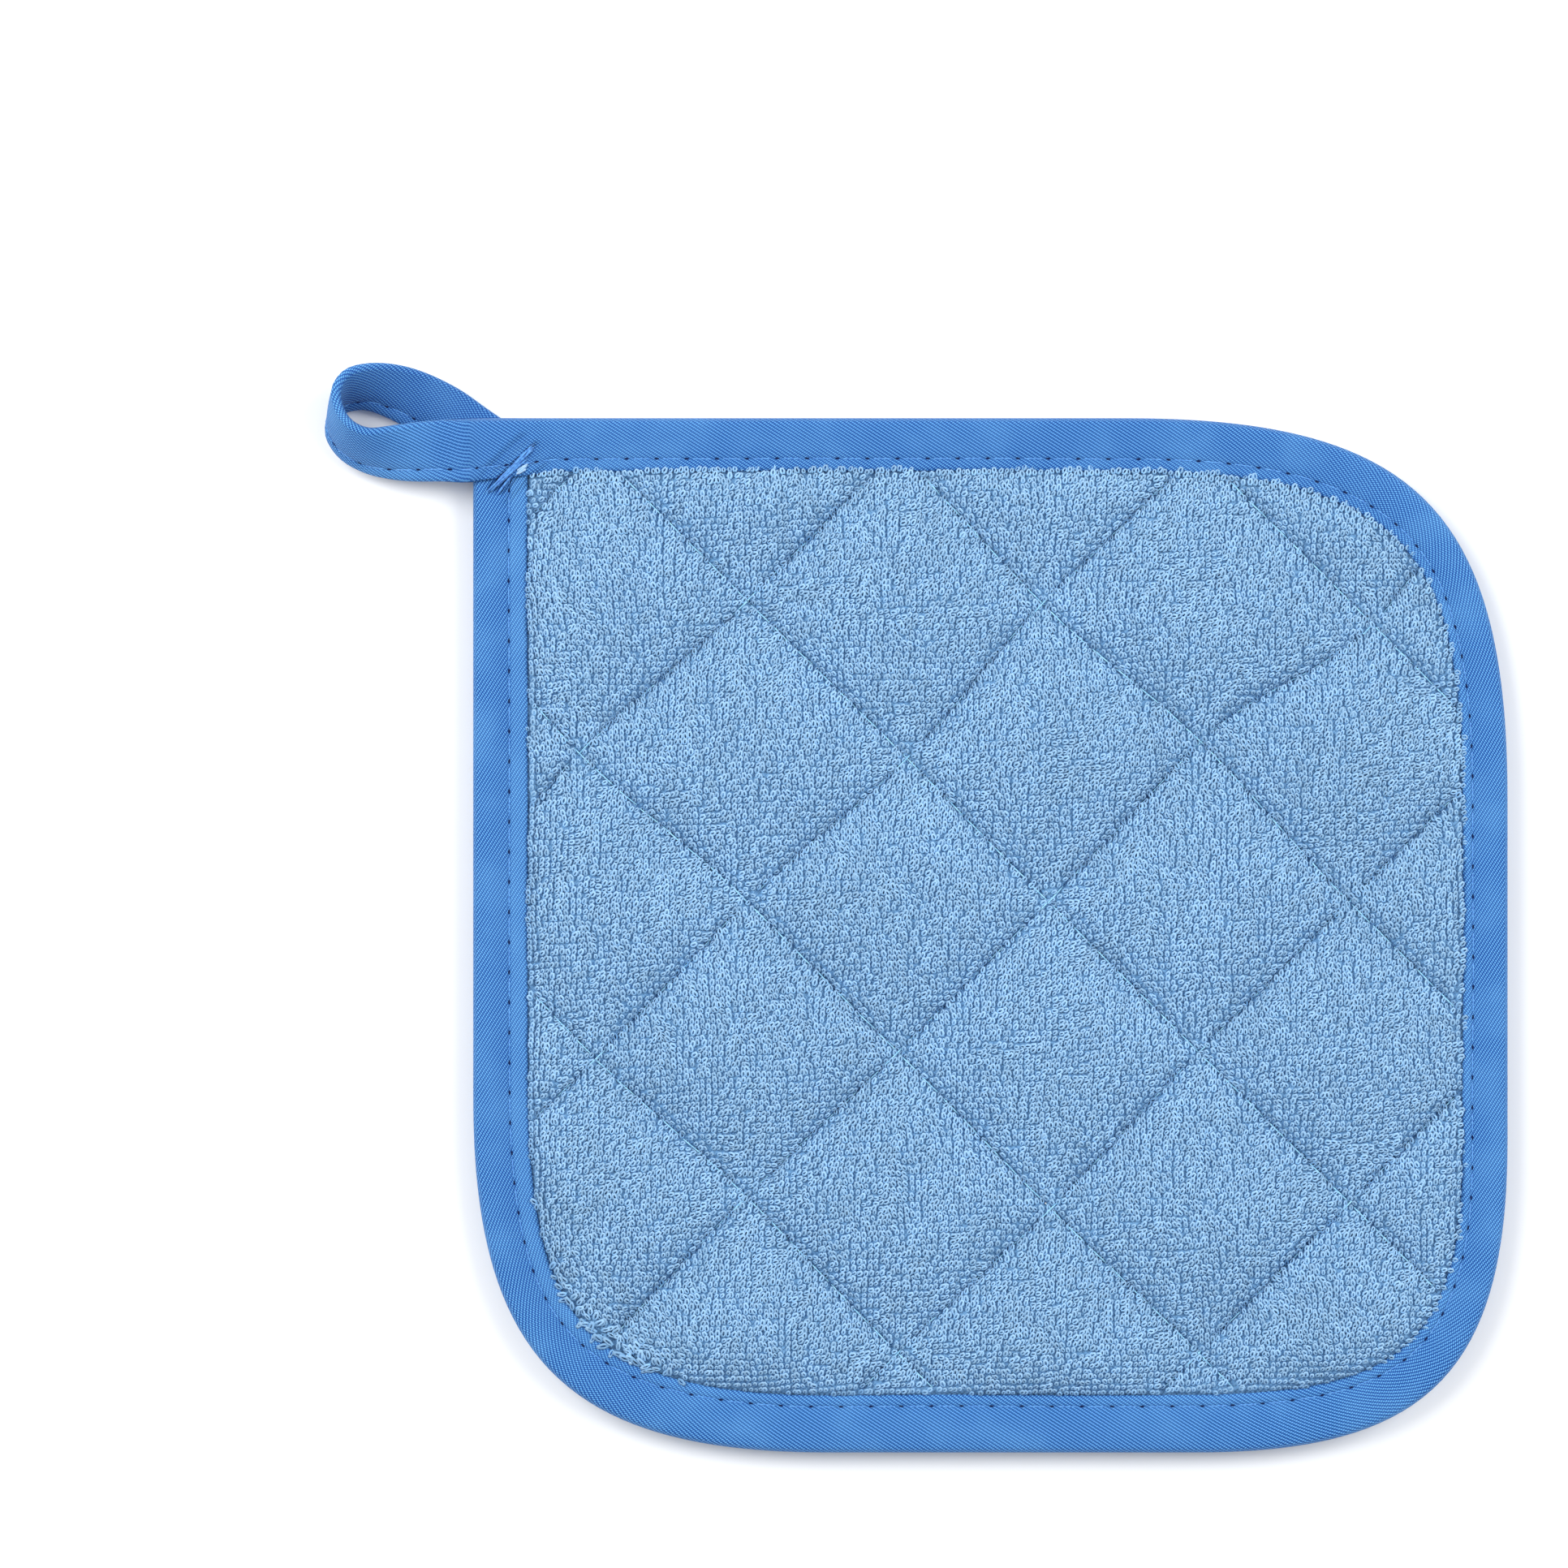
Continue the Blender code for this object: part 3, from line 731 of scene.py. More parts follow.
def quiltedBody(name, sheet, relief, side, material):
    # a panel with its relief on one face and a flat one where it meets the other panel
    flat, faces = sheet
    links = {(a, b) for face in faces for a, b in zip(face, (*face[1:], face[0]))}
    border = {a: b for a, b in links if (b, a) not in links}
    walk = [next(iter(border))]
    while border[walk[-1]] != walk[0]:
        walk.append(border[walk[-1]])
    points = np.column_stack([flat, relief(flat)])
    count = len(flat)
    flatLevel = pad["middleLevel"] + side * pad["panelGap"]
    rim = np.column_stack([flat[walk], np.full(len(walk), flatLevel)])
    solid = [tuple(face) for face in faces]
    for i, vertex in enumerate(walk):
        after = (i + 1) % len(walk)
        solid.append((walk[after], vertex, count + i, count + after))
    solid.append(tuple(count + i for i in reversed(range(len(walk)))))
    piece = addPiece(name, np.concatenate([points, rim]), solid, material)
    # painted shade for the seams' creases and the binding's edge, full on the hidden rim
    storePoints(piece.data, "creaseShade", np.concatenate([creaseShade(flat), np.ones(len(walk))]))
    flatMap(piece.data, 3 * len(faces))
    return piece


def cornerVertices(mesh):
    corner = np.empty(len(mesh.loops), np.int32)
    mesh.loops.foreach_get("vertex_index", corner)
    return corner


def addMap(mesh, name, places):
    mesh.uv_layers.new(name=name).data.foreach_set("uv", places.astype(np.float32).ravel())


def flatMap(mesh, reliefCorners):
    # the relief fills most of the map, and the hidden rim and flat face a corner of it
    place = np.empty(len(mesh.vertices) * 3)
    mesh.vertices.foreach_get("co", place)
    share = (place.reshape(-1, 3) - place.reshape(-1, 3).min(0)) / (2 * halfSide * mm)
    at = share[cornerVertices(mesh)]
    places = 0.003 + at[:, :2] * 0.93
    places[reliefCorners:] = 0.95 + at[reliefCorners:, :2] * 0.04 + at[reliefCorners:, 2:] * 0.2
    addMap(mesh, "OFBake", places)


def storePoints(mesh, name, values):
    values = np.asarray(values, np.float32)
    kind, slot = ("FLOAT_VECTOR", "vector") if values.ndim == 2 else ("FLOAT", "value")
    mesh.attributes.new(name, kind, "POINT").data.foreach_set(slot, values.ravel())


class Growth(Nodes):
    # a geometry node tree that plants strands on points, with named inputs for its sizes
    def __init__(self, name, *sizes):
        super().__init__(bpy.data.node_groups.new(name, "GeometryNodeTree"))
        sockets = self.tree.interface
        kinds = {"Geometry": "Geometry", **dict.fromkeys((*sizes, "Turn spread"), "Float"),
                 "Seed": "Int", "Material": "Material"}
        for key, kind in kinds.items():
            sockets.new_socket(key, in_out="INPUT", socket_type="NodeSocket" + kind)
        sockets.new_socket("Geometry", in_out="OUTPUT", socket_type="NodeSocketGeometry")
        outputs = self.tree.nodes.new("NodeGroupInput").outputs
        self.given = {output.name: Value(self.tree, output) for output in outputs if output.name}

    def field(self, name, kind="FLOAT"):
        return self.node("GeometryNodeInputNamedAttribute", {"data_type": kind}, {"Name": name})

    def store(self, geometry, name, value):
        return self.node("GeometryNodeStoreNamedAttribute", {"data_type": "FLOAT", "domain": "POINT"},
                         {"Geometry": geometry, "Name": name, "Value": value})

    def random(self, low, high, draw):
        return self.node("FunctionNodeRandomValue", {"data_type": "FLOAT"},
                         {"Min": low, "Max": high, "Seed": self.given["Seed"] + draw}, output=1)

    def along(self):
        return self.node("GeometryNodeSplineParameter", output="Factor")

    def strand(self, x, y, z, sides, radius, caps, rise=None):
        # yarn or thread along six points; a rise is kept for materials and maps
        line = self.node("GeometryNodeCurvePrimitiveLine")
        run = self.node("GeometryNodeResampleCurve", {}, {"Curve": line, "Count": 6})
        run = self.node("GeometryNodeSetPosition", {}, {"Geometry": run, "Position": self.vector(x, y, z)})
        circle = self.node("GeometryNodeCurvePrimitiveCircle", {}, {"Resolution": sides, "Radius": radius})
        if rise is not None:
            run = self.store(run, "rise", rise)
            circle = self.store(circle, "side", self.node("GeometryNodeInputIndex"))
        return self.node("GeometryNodeCurveToMesh", {}, {
            "Curve": run, "Profile Curve": circle, "Fill Caps": caps})

    def planted(self, points, strand, primary, secondary, scale):
        # each strand follows two directions of its point, each given with its axis, and turns a little
        (firstAxis, first), (secondAxis, second) = primary, secondary
        aim = self.node("FunctionNodeAxesToRotation", {
            "primary_axis": firstAxis, "secondary_axis": secondAxis}, {
            "Primary Axis": self.field(first, "FLOAT_VECTOR"),
            "Secondary Axis": self.field(second, "FLOAT_VECTOR")})
        spread = self.given["Turn spread"]
        twist = self.node("FunctionNodeAxisAngleToRotation", {}, {
            "Axis": (0.0, 0.0, 1.0), "Angle": self.random(spread * -1, spread, 0)})
        rotation = self.node("FunctionNodeRotateRotation", {"rotation_space": "LOCAL"}, {
            "Rotation": aim, "Rotate By": twist})
        strands = self.node("GeometryNodeInstanceOnPoints", {}, {
            "Points": points, "Instance": strand, "Rotation": rotation, "Scale": scale})
        smooth = self.node("GeometryNodeSetShadeSmooth", {}, {"Geometry": strands})
        real = self.node("GeometryNodeRealizeInstances", {}, {0: smooth})
        painted = self.node("GeometryNodeSetMaterial", {}, {0: real, "Material": self.given["Material"]})
        self.tree.links.new(painted.socket, self.tree.nodes.new("NodeGroupOutput").inputs[0])
        return self.tree


def grown(name, points, fields, tree, values):
    # runs the tree on points that carry these fields, and returns the plain mesh object that it makes
    mesh = bpy.data.meshes.new("points")
    mesh.from_pydata(rowPoints(points).tolist(), [], [])
    for key, numbers in fields.items():
        storePoints(mesh, key, numbers)
    source = linked("points", mesh)
    modifier = source.modifiers.new(name, "NODES")
    modifier.node_group = tree
    for item in tree.interface.items_tree:
        if item.in_out == "INPUT" and item.name in values:
            modifier[item.identifier] = values[item.name]
    graph = bpy.context.evaluated_depsgraph_get()
    mesh = bpy.data.meshes.new_from_object(source.evaluated_get(graph), preserve_all_data_layers=True,
                                           depsgraph=graph)
    mesh.name = name
    bpy.data.objects.remove(source, do_unlink=True)
    return linked(name, mesh)


def loopTree():
    # on every point a ring of yarn that rises from the ground cloth and bends over
    growth = Growth("terryLoops", *terry["ring"], "Root angle", "Size spread")
    given = growth.given
    root, spread = given["Root angle"], given["Size spread"]
    angle = root + growth.along() * (2 * math.pi - 2 * root)
    lift = (1 - angle.cosine()) / 2
    back, foot = terry["ringBack"], terry["ringFoot"]
    yarn = growth.strand(
        angle.sine() * given["Ring width"] / 2,
        (lift - back) * given["Ring lean"],
        (foot + lift ** 0.5 * (1 - foot)) * given["Ring height"],
        3, given["Yarn radius"], False, rise=lift)
    size = growth.random(1 - spread, 1 + spread, 1)
    scale = growth.vector(size, growth.field("long") * size, growth.field("tall") * size)
    points = growth.store(given["Geometry"], "tone", growth.random(0.0, 1.0, 2))
    return growth.planted(points, yarn, ("Z", "up"), ("Y", "lean"), scale)


stitchSizes = "Length", "Radius", "Arch", "Dip"


def stitchTree():
    # on every point a stitch that arches over the cloth and dips in at both ends
    growth = Growth("stitches", *stitchSizes)
    given = growth.given
    share = growth.along() - 0.5
    outer = (share * 2).size()
    thread = growth.strand(
        share * given["Length"], 0.0,
        (1 - outer ** 2) * given["Arch"] - outer ** 8 * given["Dip"],
        5, given["Radius"], True)
    scale = growth.vector(growth.field("stretch"), 1.0, 1.0)
    return growth.planted(given["Geometry"], thread, ("X", "ahead"), ("Z", "up"), scale)


def terryRoots():
    # where the loops stand, in wales that drift a little
    random = np.random.default_rng(terry["seed"])
    columns = np.arange(-halfSide, halfSide, terry["across"])
    rows = np.arange(-halfSide, halfSide, terry["along"])
    grid = np.array([(x, y + x * terry["rowRise"]) for x in columns for y in rows])
    xy = grid + random.normal(0, terry["jitter"], grid.shape)
    wide, seeds, strength = terry["drift"]
    xy += np.stack([wander(grid, wide, seed) for seed in seeds], 1) * strength
    past, outward = pastLeaf(xy)
    falling, rising = (seamDistance(line) for line in quiltPlace(xy))
    fallingRoom, risingRoom, fromCrossing = terry["threadRoom"]
    onThread = (falling < fallingRoom) | ((rising < risingRoom) & (falling > fromCrossing))
    keep = (past > terry["start"]) & ~onThread
    return xy[keep], past[keep], outward[keep]


def fluffShare(xy):
    # 1 on the line of worn loops, 0 away from it
    near = np.full(len(xy), np.inf)
    for spot in evenly(np.array(terry["fluff"]), 0.5):
        near = np.minimum(near, np.linalg.norm(xy - spot, axis=1))
    return fading(near, terry["fluffReach"])


def terryPile(material):
    xy, past, outward = terryRoots()
    print("terry loops:", len(xy))
    fluff = fluffShare(xy)
    rim = np.clip(1 - past / terry["rimReach"], 0, 1)
    over = np.maximum(outward[:, 1], terry["lapRight"] * outward[:, 0]).clip(0)
    lap = np.minimum(1, over * 2)

    # loops stand square to their ground, which falls away towards the binding
    step = terry["slopeStep"]
    slopes = [(terryGroundLevel(xy + offset) - terryGroundLevel(xy - offset)) / (2 * step)
              for offset in ((step, 0.0), (0.0, step))]
    up = unit(np.stack([-slopes[0], -slopes[1], np.ones(len(xy))], 1))
    up[:, :2] *= 1 - (terry["rimUpright"] * rim * (1 - lap))[:, None]

    # the nap: they lean one way over patches
    way = np.full(len(xy), terry["nap"])
    for wide, seed, strength in terry["napTurns"]:
        way += wander(xy, wide, seed) * strength
    wide, seed, strength = terry["fluffTurn"]
    way += wander(xy, wide, seed) * strength * fluff
    bent = (rim * lap)[:, None]
    lean = np.stack([np.cos(way), np.sin(way)], 1) * (1 - bent) + outward * bent * terry["lapLean"]

    tall = 1 + terry["rimTall"] * rim + terry["fluffTall"] * fluff
    most, less = terry["lapShort"]
    shorter = np.where(lap > 0, most - less * over, terry["rimShort"])
    long = 1 + terry["fluffLong"] * fluff - shorter * rim
    level = terryGroundLevel(xy) + terry["rimRise"] * rim - terry["rootDepth"]

    points = np.column_stack([xy, level])
    # the loops carry the painted shade of the seams' creases and the binding's edge
    fields = {"up": unit(up), "lean": np.column_stack([lean, np.zeros(len(xy))]),
              "tall": tall, "long": long, "creaseShade": creaseShade(xy)}
    tree = loopTree()
    order = np.argsort(-xy[:, 1], kind="stable")
    for band, chosen in enumerate(np.array_split(order, terry["bands"])):
        here = {name: values[chosen] for name, values in fields.items()}
        here["cell"] = np.arange(len(chosen), dtype=float)
        piece = grown(f"terry_pile_{band + 1}", points[chosen], here, tree, {
            **{name: size * mm for name, size in terry["ring"].items()}, "Root angle": terry["rootAngle"],
            "Size spread": terry["sizeSpread"], "Turn spread": terry["turnSpread"],
            "Seed": terry["seed"] + 10 * band, "Material": material})
        mapLoops(piece.data, len(chosen))
        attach(piece, "root")
    print("terry pile made")


def mapLoops(mesh, count):
    # each loop gets a small square of its own in the map, root to tip one way, round the yarn the other
    fields = {}
    for name in ("cell", "rise", "side"):
        fields[name] = np.empty(len(mesh.vertices), np.float32)
        mesh.attributes[name].data.foreach_get("value", fields[name])
    corner = cornerVertices(mesh)
    wide = math.ceil(math.sqrt(count))
    cell = fields["cell"][corner]
    u = (cell % wide + 0.12 + 0.76 * fields["rise"][corner]) / wide
    v = (cell // wide + 0.12 + 0.38 * fields["side"][corner]) / wide
    addMap(mesh, "OFBake", np.stack([u, v], 1))
    for name in ("cell", "side", "up", "lean", "tall", "long"):
        if name in mesh.attributes:
            mesh.attributes.remove(mesh.attributes[name])


def stitchPlaces(pitch, line, up, lengths=None):
    # middles of even stitches along a line, with its direction and the cloth's outward one there
    lengths = lengthAlong(line) if lengths is None else lengths
    count = max(1, round(lengths[-1] / pitch))
    at = (np.arange(count) + 0.5) * lengths[-1] / count
    ahead = readAlong(at + 0.5, lengths, line) - readAlong(at - 0.5, lengths, line)
    return readAlong(at, lengths, line), ahead, readAlong(at, lengths, up)


def sewn(name, places, tree, thread, turn, seed, material, slot, stretch=1.0):
    # places: points, directions and outward directions; thread: length, radius, arch and dip
    points, ahead, up = places
    fields = {"ahead": ahead, "up": up, "stretch": np.full(len(points), stretch)}
    piece = grown(name, points, fields, tree, {
        **{key: size * mm for key, size in zip(stitchSizes, thread)},
        "Turn spread": turn, "Seed": seed, "Material": material})
    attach(piece, "root")


def sewnLines(name, lines, pitch, *how):
    # lines: points and outward directions for each seam, and where it matters a measure along it
    places = [stitchPlaces(pitch, *line) for line in lines]
    sewn(name, [np.concatenate(column) for column in zip(*places)], *how)


quiltThread = {
    "pitch": 5.9, "turn": 0.04, "start": 0.6,
    "cellStep": 0.02, "fewest": 6,        # cells from point to point, and a seam's fewest points
    "front": (5.0, 0.15, 0.15, 0.6), "back": (5.7, 0.19, 0.15, 0.6),     # length, radius, arch, dip
    "fallingLift": 0.8, "risingLift": 0.3, "backLift": 0.1,
}


def seamRuns(falling):
    # each seam's points across the pad, from one side of the binding to the other
    span = math.ceil(2 * halfSide / quilt["pitch"])
    lines = np.arange(-span, span, quiltThread["cellStep"])
    runs = []
    for seam in range(-span, span + 1):
        run = quiltPoint(seam, lines) if falling else quiltPoint(lines, seam)
        run = run[(abs(run) < halfSide).all(1)]
        if len(run):
            run = run[pastLeaf(run)[0] > quiltThread["start"]]
        if len(run) > quiltThread["fewest"]:
            runs.append(run)
    return runs


def quiltStitches(tree, pale, white):
    pitch, turn = quiltThread["pitch"], quiltThread["turn"]
    for kind in ("falling", "rising"):
        front, back = [], []
        for run in seamRuns(kind == "falling"):
            upward = np.tile((0.0, 0.0, 1.0), (len(run), 1))
            over = terryGroundLevel(run) + quiltThread[kind + "Lift"]
            under = silverLevel(run) - quiltThread["backLift"]
            front.append((np.column_stack([run, over]), upward))
            back.append((np.column_stack([run, under]), -upward))
        sewnLines(f"front_stitches_{kind}", front, pitch, tree, quiltThread["front"], turn, 3,
                  pale, "terry")
        sewnLines(f"back_stitches_{kind}", back, pitch, tree, quiltThread["back"], turn, 4,
                  white, "silver_cloth")
    print("quilting stitches sewn")


# The tape is the binding and the loop that it runs on into.
tape = {
    "layer": 0.45, "hem": 6.5, "hemStep": 3.0, "hemGap": 0.05, "groove": 0.16, "channel": 1.25,
    "turnFrom": 0.9, "turnIn": 0.42,      # how the hems' inner edge turns
    "besideGroove": (0.5, 0.55), "crown": 0.13, "crownAt": (0.58, 0.34), "foldRound": 1.5,
    # the loop's painted shade: none on its upper leaf and some on its lower one, which is its inner side;
    # the strip by its stitches gets a little painted light and shade
    "step": 2.4, "loopStep": 1.2, "loopShade": (0.0, 0.3), "loopStrip": 0.3, "loopRoom": (0.06, 0.06),
    "mapRows": 5, "mapGap": 1.0, "hiddenShare": 0.12,
    "startLevel": 99.0,           # the tape starts here on the left side, under its own end
    "startThin": (84.0, 5.0, 0.5),        # pressed thinner below: from here, over how far, by how much
    "lapFrom": -82.0,             # from here its end rises over its start
    "stitchPitch": 5.9, "loopStitch": 2.5,
}
# Fold rim and sewn rim of the tape where it leaves the pad, with the room above and below its middle.
lapRows = (
    ((-86.0, 101.5, 4.5), (-86.0, 90.8, 4.5), 1.4, 1.25),
    ((-90.5, 101.5, 4.6), (-90.5, 90.2, 4.6), 2.1, 1.65),
    ((-96.0, 101.5, 4.7), (-96.0, 89.6, 4.8), 2.2, 1.85),
    ((-101.8, 101.4, 4.7), (-101.8, 89.0, 4.8), 2.25, 1.95),
    ((-104.6, 101.2, 5.9), (-104.6, 88.9, 5.6), 1.0, 1.0),
    ((-108.0, 101.0, 7.5), (-107.8, 89.0, 6.5), 0.1, 0.1),
)
# The same two rims through the loop.
loopRows = (
    ((-113.0, 100.4, 8.8), (-113.0, 89.2, 4.8)), ((-118.0, 99.5, 10.2), (-118.2, 89.9, 3.3)),
    ((-122.0, 99.0, 11.1), (-123.0, 91.4, 2.1)), ((-125.4, 100.6, 11.3), (-127.3, 94.0, 1.7)),
    ((-127.3, 103.6, 11.3), (-129.8, 97.8, 1.4)), ((-127.8, 107.3, 11.1), (-129.4, 101.2, 1.1)),
    ((-125.7, 110.5, 10.2), (-127.0, 103.2, 1.0)), ((-121.2, 111.8, 8.9), (-122.9, 103.6, 1.0)),
    ((-116.0, 111.7, 6.6), (-118.4, 101.9, 0.95)), ((-110.5, 110.3, 4.1), (-113.7, 99.3, 0.95)),
    ((-104.3, 107.3, 1.9), (-108.8, 96.4, 0.95)), ((-98.7, 103.4, 0.95), (-104.4, 93.1, 0.95)),
    ((-92.8, 99.4, 0.95), (-99.8, 89.9, 0.95)), ((-87.0, 95.4, 0.95), (-95.4, 87.1, 0.95)),
)


def curveThrough(rows, step):
    # even steps along a smooth curve through rows of numbers, the first six of them two rims
    rows = np.asarray(rows, float)
    ends = np.concatenate([rows[:1], rows, rows[-1:]])
    fine = []
    for a, b, c, d in zip(ends, ends[1:], ends[2:], ends[3:]):
        t = np.arange(0, 1, 0.1)[:, None]
        fine.append(0.5 * (2 * b + (c - a) * t + (2 * a - 5 * b + 4 * c - d) * t * t
                           + (3 * b - a - 3 * c + d) * t ** 3))
    fine = np.concatenate([*fine, rows[-1:]])
    lengths = lengthAlong((fine[:, 0:3] + fine[:, 3:6]) / 2)
    return readAlong(np.linspace(0, lengths[-1], max(2, round(lengths[-1] / step) + 1)), lengths, fine)


def tapeStations():
    # columns: fold rim, sewn rim, room up and down, distance of the stitches from the sewn rim, how much
    # painted light and shade the strip by them gets, and painted shade on the upper and lower leaf
    every = max(1, round(tape["step"] / pad["edgeStep"]))
    keep = np.arange(0, len(edgePoints), every)
    points, inward = edgePoints[keep], edgeInward[keep]
    onPad = ~((points[:, 0] < -halfSide + 1e-6) & (points[:, 1] > tape["startLevel"]))
    onPad &= ~((points[:, 1] > halfSide - 1e-6) & (points[:, 0] < tape["lapFrom"]))
    points, inward = points[onPad], inward[onPad]
    leaf, stitch, strip, depth = (leafWidth(points, inward),
                                  *(perSide(kind, inward) for kind in ("stitch", "strip", "depth")))
    level = np.full(len(points), pad["middleLevel"])
    thinFrom, reach, thinner = tape["startThin"]
    early = np.clip((points[:, 1] - thinFrom) / reach, 0, 1) * (points[:, 0] < -halfSide + 1e-6)
    down = tape["channel"] - thinner * early
    up = np.full(len(points), tape["channel"])
    rim = points + inward * leaf[:, None]
    binding = np.column_stack([points, level, rim, level, up, down, stitch, strip, depth, depth])
    stitch, strip, depth = (pad[kind][-1] for kind in ("stitch", "strip", "depth"))      # as at the top
    lap = [(*fold, *rim, *room, stitch, strip, depth, depth) for fold, rim, *room in lapRows]
    loop = [(*fold, *rim, *tape["loopRoom"], tape["loopStitch"], tape["loopStrip"], *tape["loopShade"])
            for fold, rim in loopRows]
    end = curveThrough([binding[-2], binding[-1], *lap, *loop], tape["loopStep"])
    return np.concatenate([binding[:-2], end])


def tapeProfile(width, up, down, stitch):
    # the cloth's own middle line across the tape: hem, leaf, fold, leaf, hem
    layer, turnFrom, turnIn = tape["layer"], tape["turnFrom"], tape["turnIn"]
    (before, after), (wide, narrow) = tape["besideGroove"], tape["crownAt"]
    halves = []
    for room in (up, down):
        inner = room + layer / 2
        outer = inner + layer + tape["hemGap"]
        radius = min(outer, tape["foldRound"])
        half = [
            (width - tape["hem"], inner), (width - tape["hemStep"], inner), (width - turnFrom, inner),
            (width - turnIn, inner + 0.02), (width - layer / 2, (inner + outer) / 2),
            (width - turnIn, outer - 0.02), (width - turnFrom, outer + 0.04),
            (width - stitch + before, outer + 0.06), (width - stitch, outer - tape["groove"]),
            (width - stitch - after, outer + 0.06), (width * wide, outer + tape["crown"]),
            (width * narrow, outer + tape["crown"]), (radius, outer),
        ]
        for turn in (30, 60):
            half.append((radius - (radius - layer / 2) * math.sin(math.radians(turn)),
                         outer * math.cos(math.radians(turn))))
        halves.append(half)
    upper, lower = halves
    return np.array([*upper, (layer / 2, 0.0), *((s, -h) for s, h in reversed(lower))])


def topProfile():
    return tapeProfile(pad["leaf"][-1], tape["channel"], tape["channel"], pad["stitch"][-1])


def ribbon(line, thick):
    # both sides of a line in the plane, as one closed outline
    ahead = unit(np.gradient(line, axis=0))
    normal = np.stack([-ahead[:, 1], ahead[:, 0]], 1) * thick / 2
    return np.concatenate([line - normal, (line + normal)[::-1]])


def tapeMap(mesh, total, count, along):
    # the tape's length in rows one above the other, its hidden side squeezed narrow
    line = topProfile()
    outline = ribbon(line, tape["layer"])
    pieces = np.linalg.norm(np.diff(np.concatenate([outline, outline[:1]]), axis=0), axis=1)
    seen = (np.arange(count) >= 2) & (np.arange(count) < len(line) - 3)
    around = np.concatenate([[0], np.cumsum(np.where(seen, pieces, pieces * tape["hiddenShare"]))])
    rows = tape["mapRows"]
    rowOf = np.arange(total - 1) * rows // (total - 1)
    starts = np.array([np.flatnonzero(rowOf == row)[0] for row in range(rows)])
    ends = np.minimum(starts + (total - 1) // rows + 2, total - 1)
    longest = (along[ends] - along[starts]).max()
    rowTall = around[-1] + tape["mapGap"]

    corner = cornerVertices(mesh)
    places = np.empty((len(corner), 2))
    body = (total - 1) * count * 4
    station, turn = corner[:body] // count, corner[:body] % count
    face = np.arange(body) // 4
    first = rowOf[face // count]
    turn = np.where((turn == 0) & (face % count == count - 1), count, turn)      # close the round
    scale = 0.98 / max(longest, rows * rowTall)
    places[:body, 0] = 0.01 + (along[station] - along[starts[first]]) * scale
    places[:body, 1] = 0.01 + (first * rowTall + around[turn]) * scale
    cut = corner[body:]                # the two cut ends go in a thin strip
    places[body:, 0] = 0.02 + 0.9 * np.minimum(cut % count, count - 1 - cut % count) / count
    places[body:, 1] = 0.99 + 0.004 * (cut >= count) + 0.003 * (cut % count < count / 2)
    addMap(mesh, "OFBake", places)


def edgeTape(material):
    stations = tapeStations()
    fold, rim = stations[:, 0:3], stations[:, 3:6]
    width = np.linalg.norm(rim - fold, axis=1)
    across = unit(rim - fold)
    normal = unit(np.cross(np.gradient((fold + rim) / 2, axis=0), across))
    along = lengthAlong(rim - across * stations[:, 8:9])
    cutLength = along[-1]
    along *= round(cutLength / tape["stitchPitch"]) * tape["stitchPitch"] / cutLength

    points, cloth, offStitch, paths = [], [], [], {"upper": [], "lower": []}
    surface = 2 * tape["layer"] + tape["hemGap"] - tape["groove"]
    for i, (up, down, stitch) in enumerate(stations[:, 6:9]):
        line = tapeProfile(width[i], up, down, stitch)
        outline = ribbon(line, tape["layer"])
        lengths = lengthAlong(line)
        lengths -= lengths[len(line) // 2]
        section = fold[i] + np.outer(outline[:, 0], across[i]) + np.outer(outline[:, 1], normal[i])
        section[:, 2] = np.maximum(section[:, 2], pad["lowest"])
        points.append(section)
        cloth.append(np.column_stack([np.full(len(outline), along[i]),
                                      np.concatenate([lengths, lengths[::-1]])]))
        offStitch.append(width[i] - stitch - outline[:, 0])
        spot = fold[i] + across[i] * (width[i] - stitch)
        paths["upper"].append((*(spot + normal[i] * (up + surface)), *normal[i], along[i]))
        paths["lower"].append((*(spot - normal[i] * (down + surface)), *-normal[i], along[i]))

    count, total = len(points[0]), len(points)
    faces = [(a + j, a + count + j, a + count + k, a + k) for a in range(0, (total - 1) * count, count)
             for j, k in zip(range(count), (*range(1, count), 0))]
    half = count // 2
    for a, flip in ((0, False), ((total - 1) * count, True)):     # close both cut ends
        for j in range(half - 1):
            quad = (a + j, a + j + 1, a + count - 2 - j, a + count - 1 - j)
            faces.append(quad[::-1] if flip else quad)
    piece = addPiece("edge_tape", np.concatenate(points), faces, material)
    mesh = piece.data
    addMap(mesh, "cloth", np.concatenate(cloth)[cornerVertices(mesh)])
    tapeMap(mesh, total, count, along)
    storePoints(mesh, "offStitch", np.concatenate(offStitch))
    # how much painted light and shade the strip by the stitches gets
    storePoints(mesh, "strip", np.repeat(stations[:, 9], count))
    lower = (abs(np.arange(count) - (count - 1) / 2) < count / 4).astype(float)    # in the far leaf
    # painted shade on the tape: more along the top, and on the loop's inner side
    storePoints(mesh, "depth", (stations[:, 10:11] * (1 - lower) + stations[:, 11:12] * lower).ravel())
    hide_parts("edge_binding", "hanging_loop")
    cutWidth = lengthAlong(topProfile())[-1]
    print("tape cut size in mm:", round(cutWidth, 1), "by", round(cutLength, 1))
    return piece, paths, (cutWidth * mm, cutLength * mm)


edgeThread = {"thread": (5.1, 0.12, 0.03, 0.5), "turn": 0.02}       # length, radius, arch, dip


def edgeStitches(tree, paths, material):
    for side, path in paths.items():
        rows = np.array(path)
        sewnLines(f"edge_stitches_{side}", [(rows[:, 0:3], rows[:, 3:6], rows[:, 6])], tape["stitchPitch"],
                  tree, edgeThread["thread"], edgeThread["turn"], 11, material, "tape")
    print("edge stitches sewn")


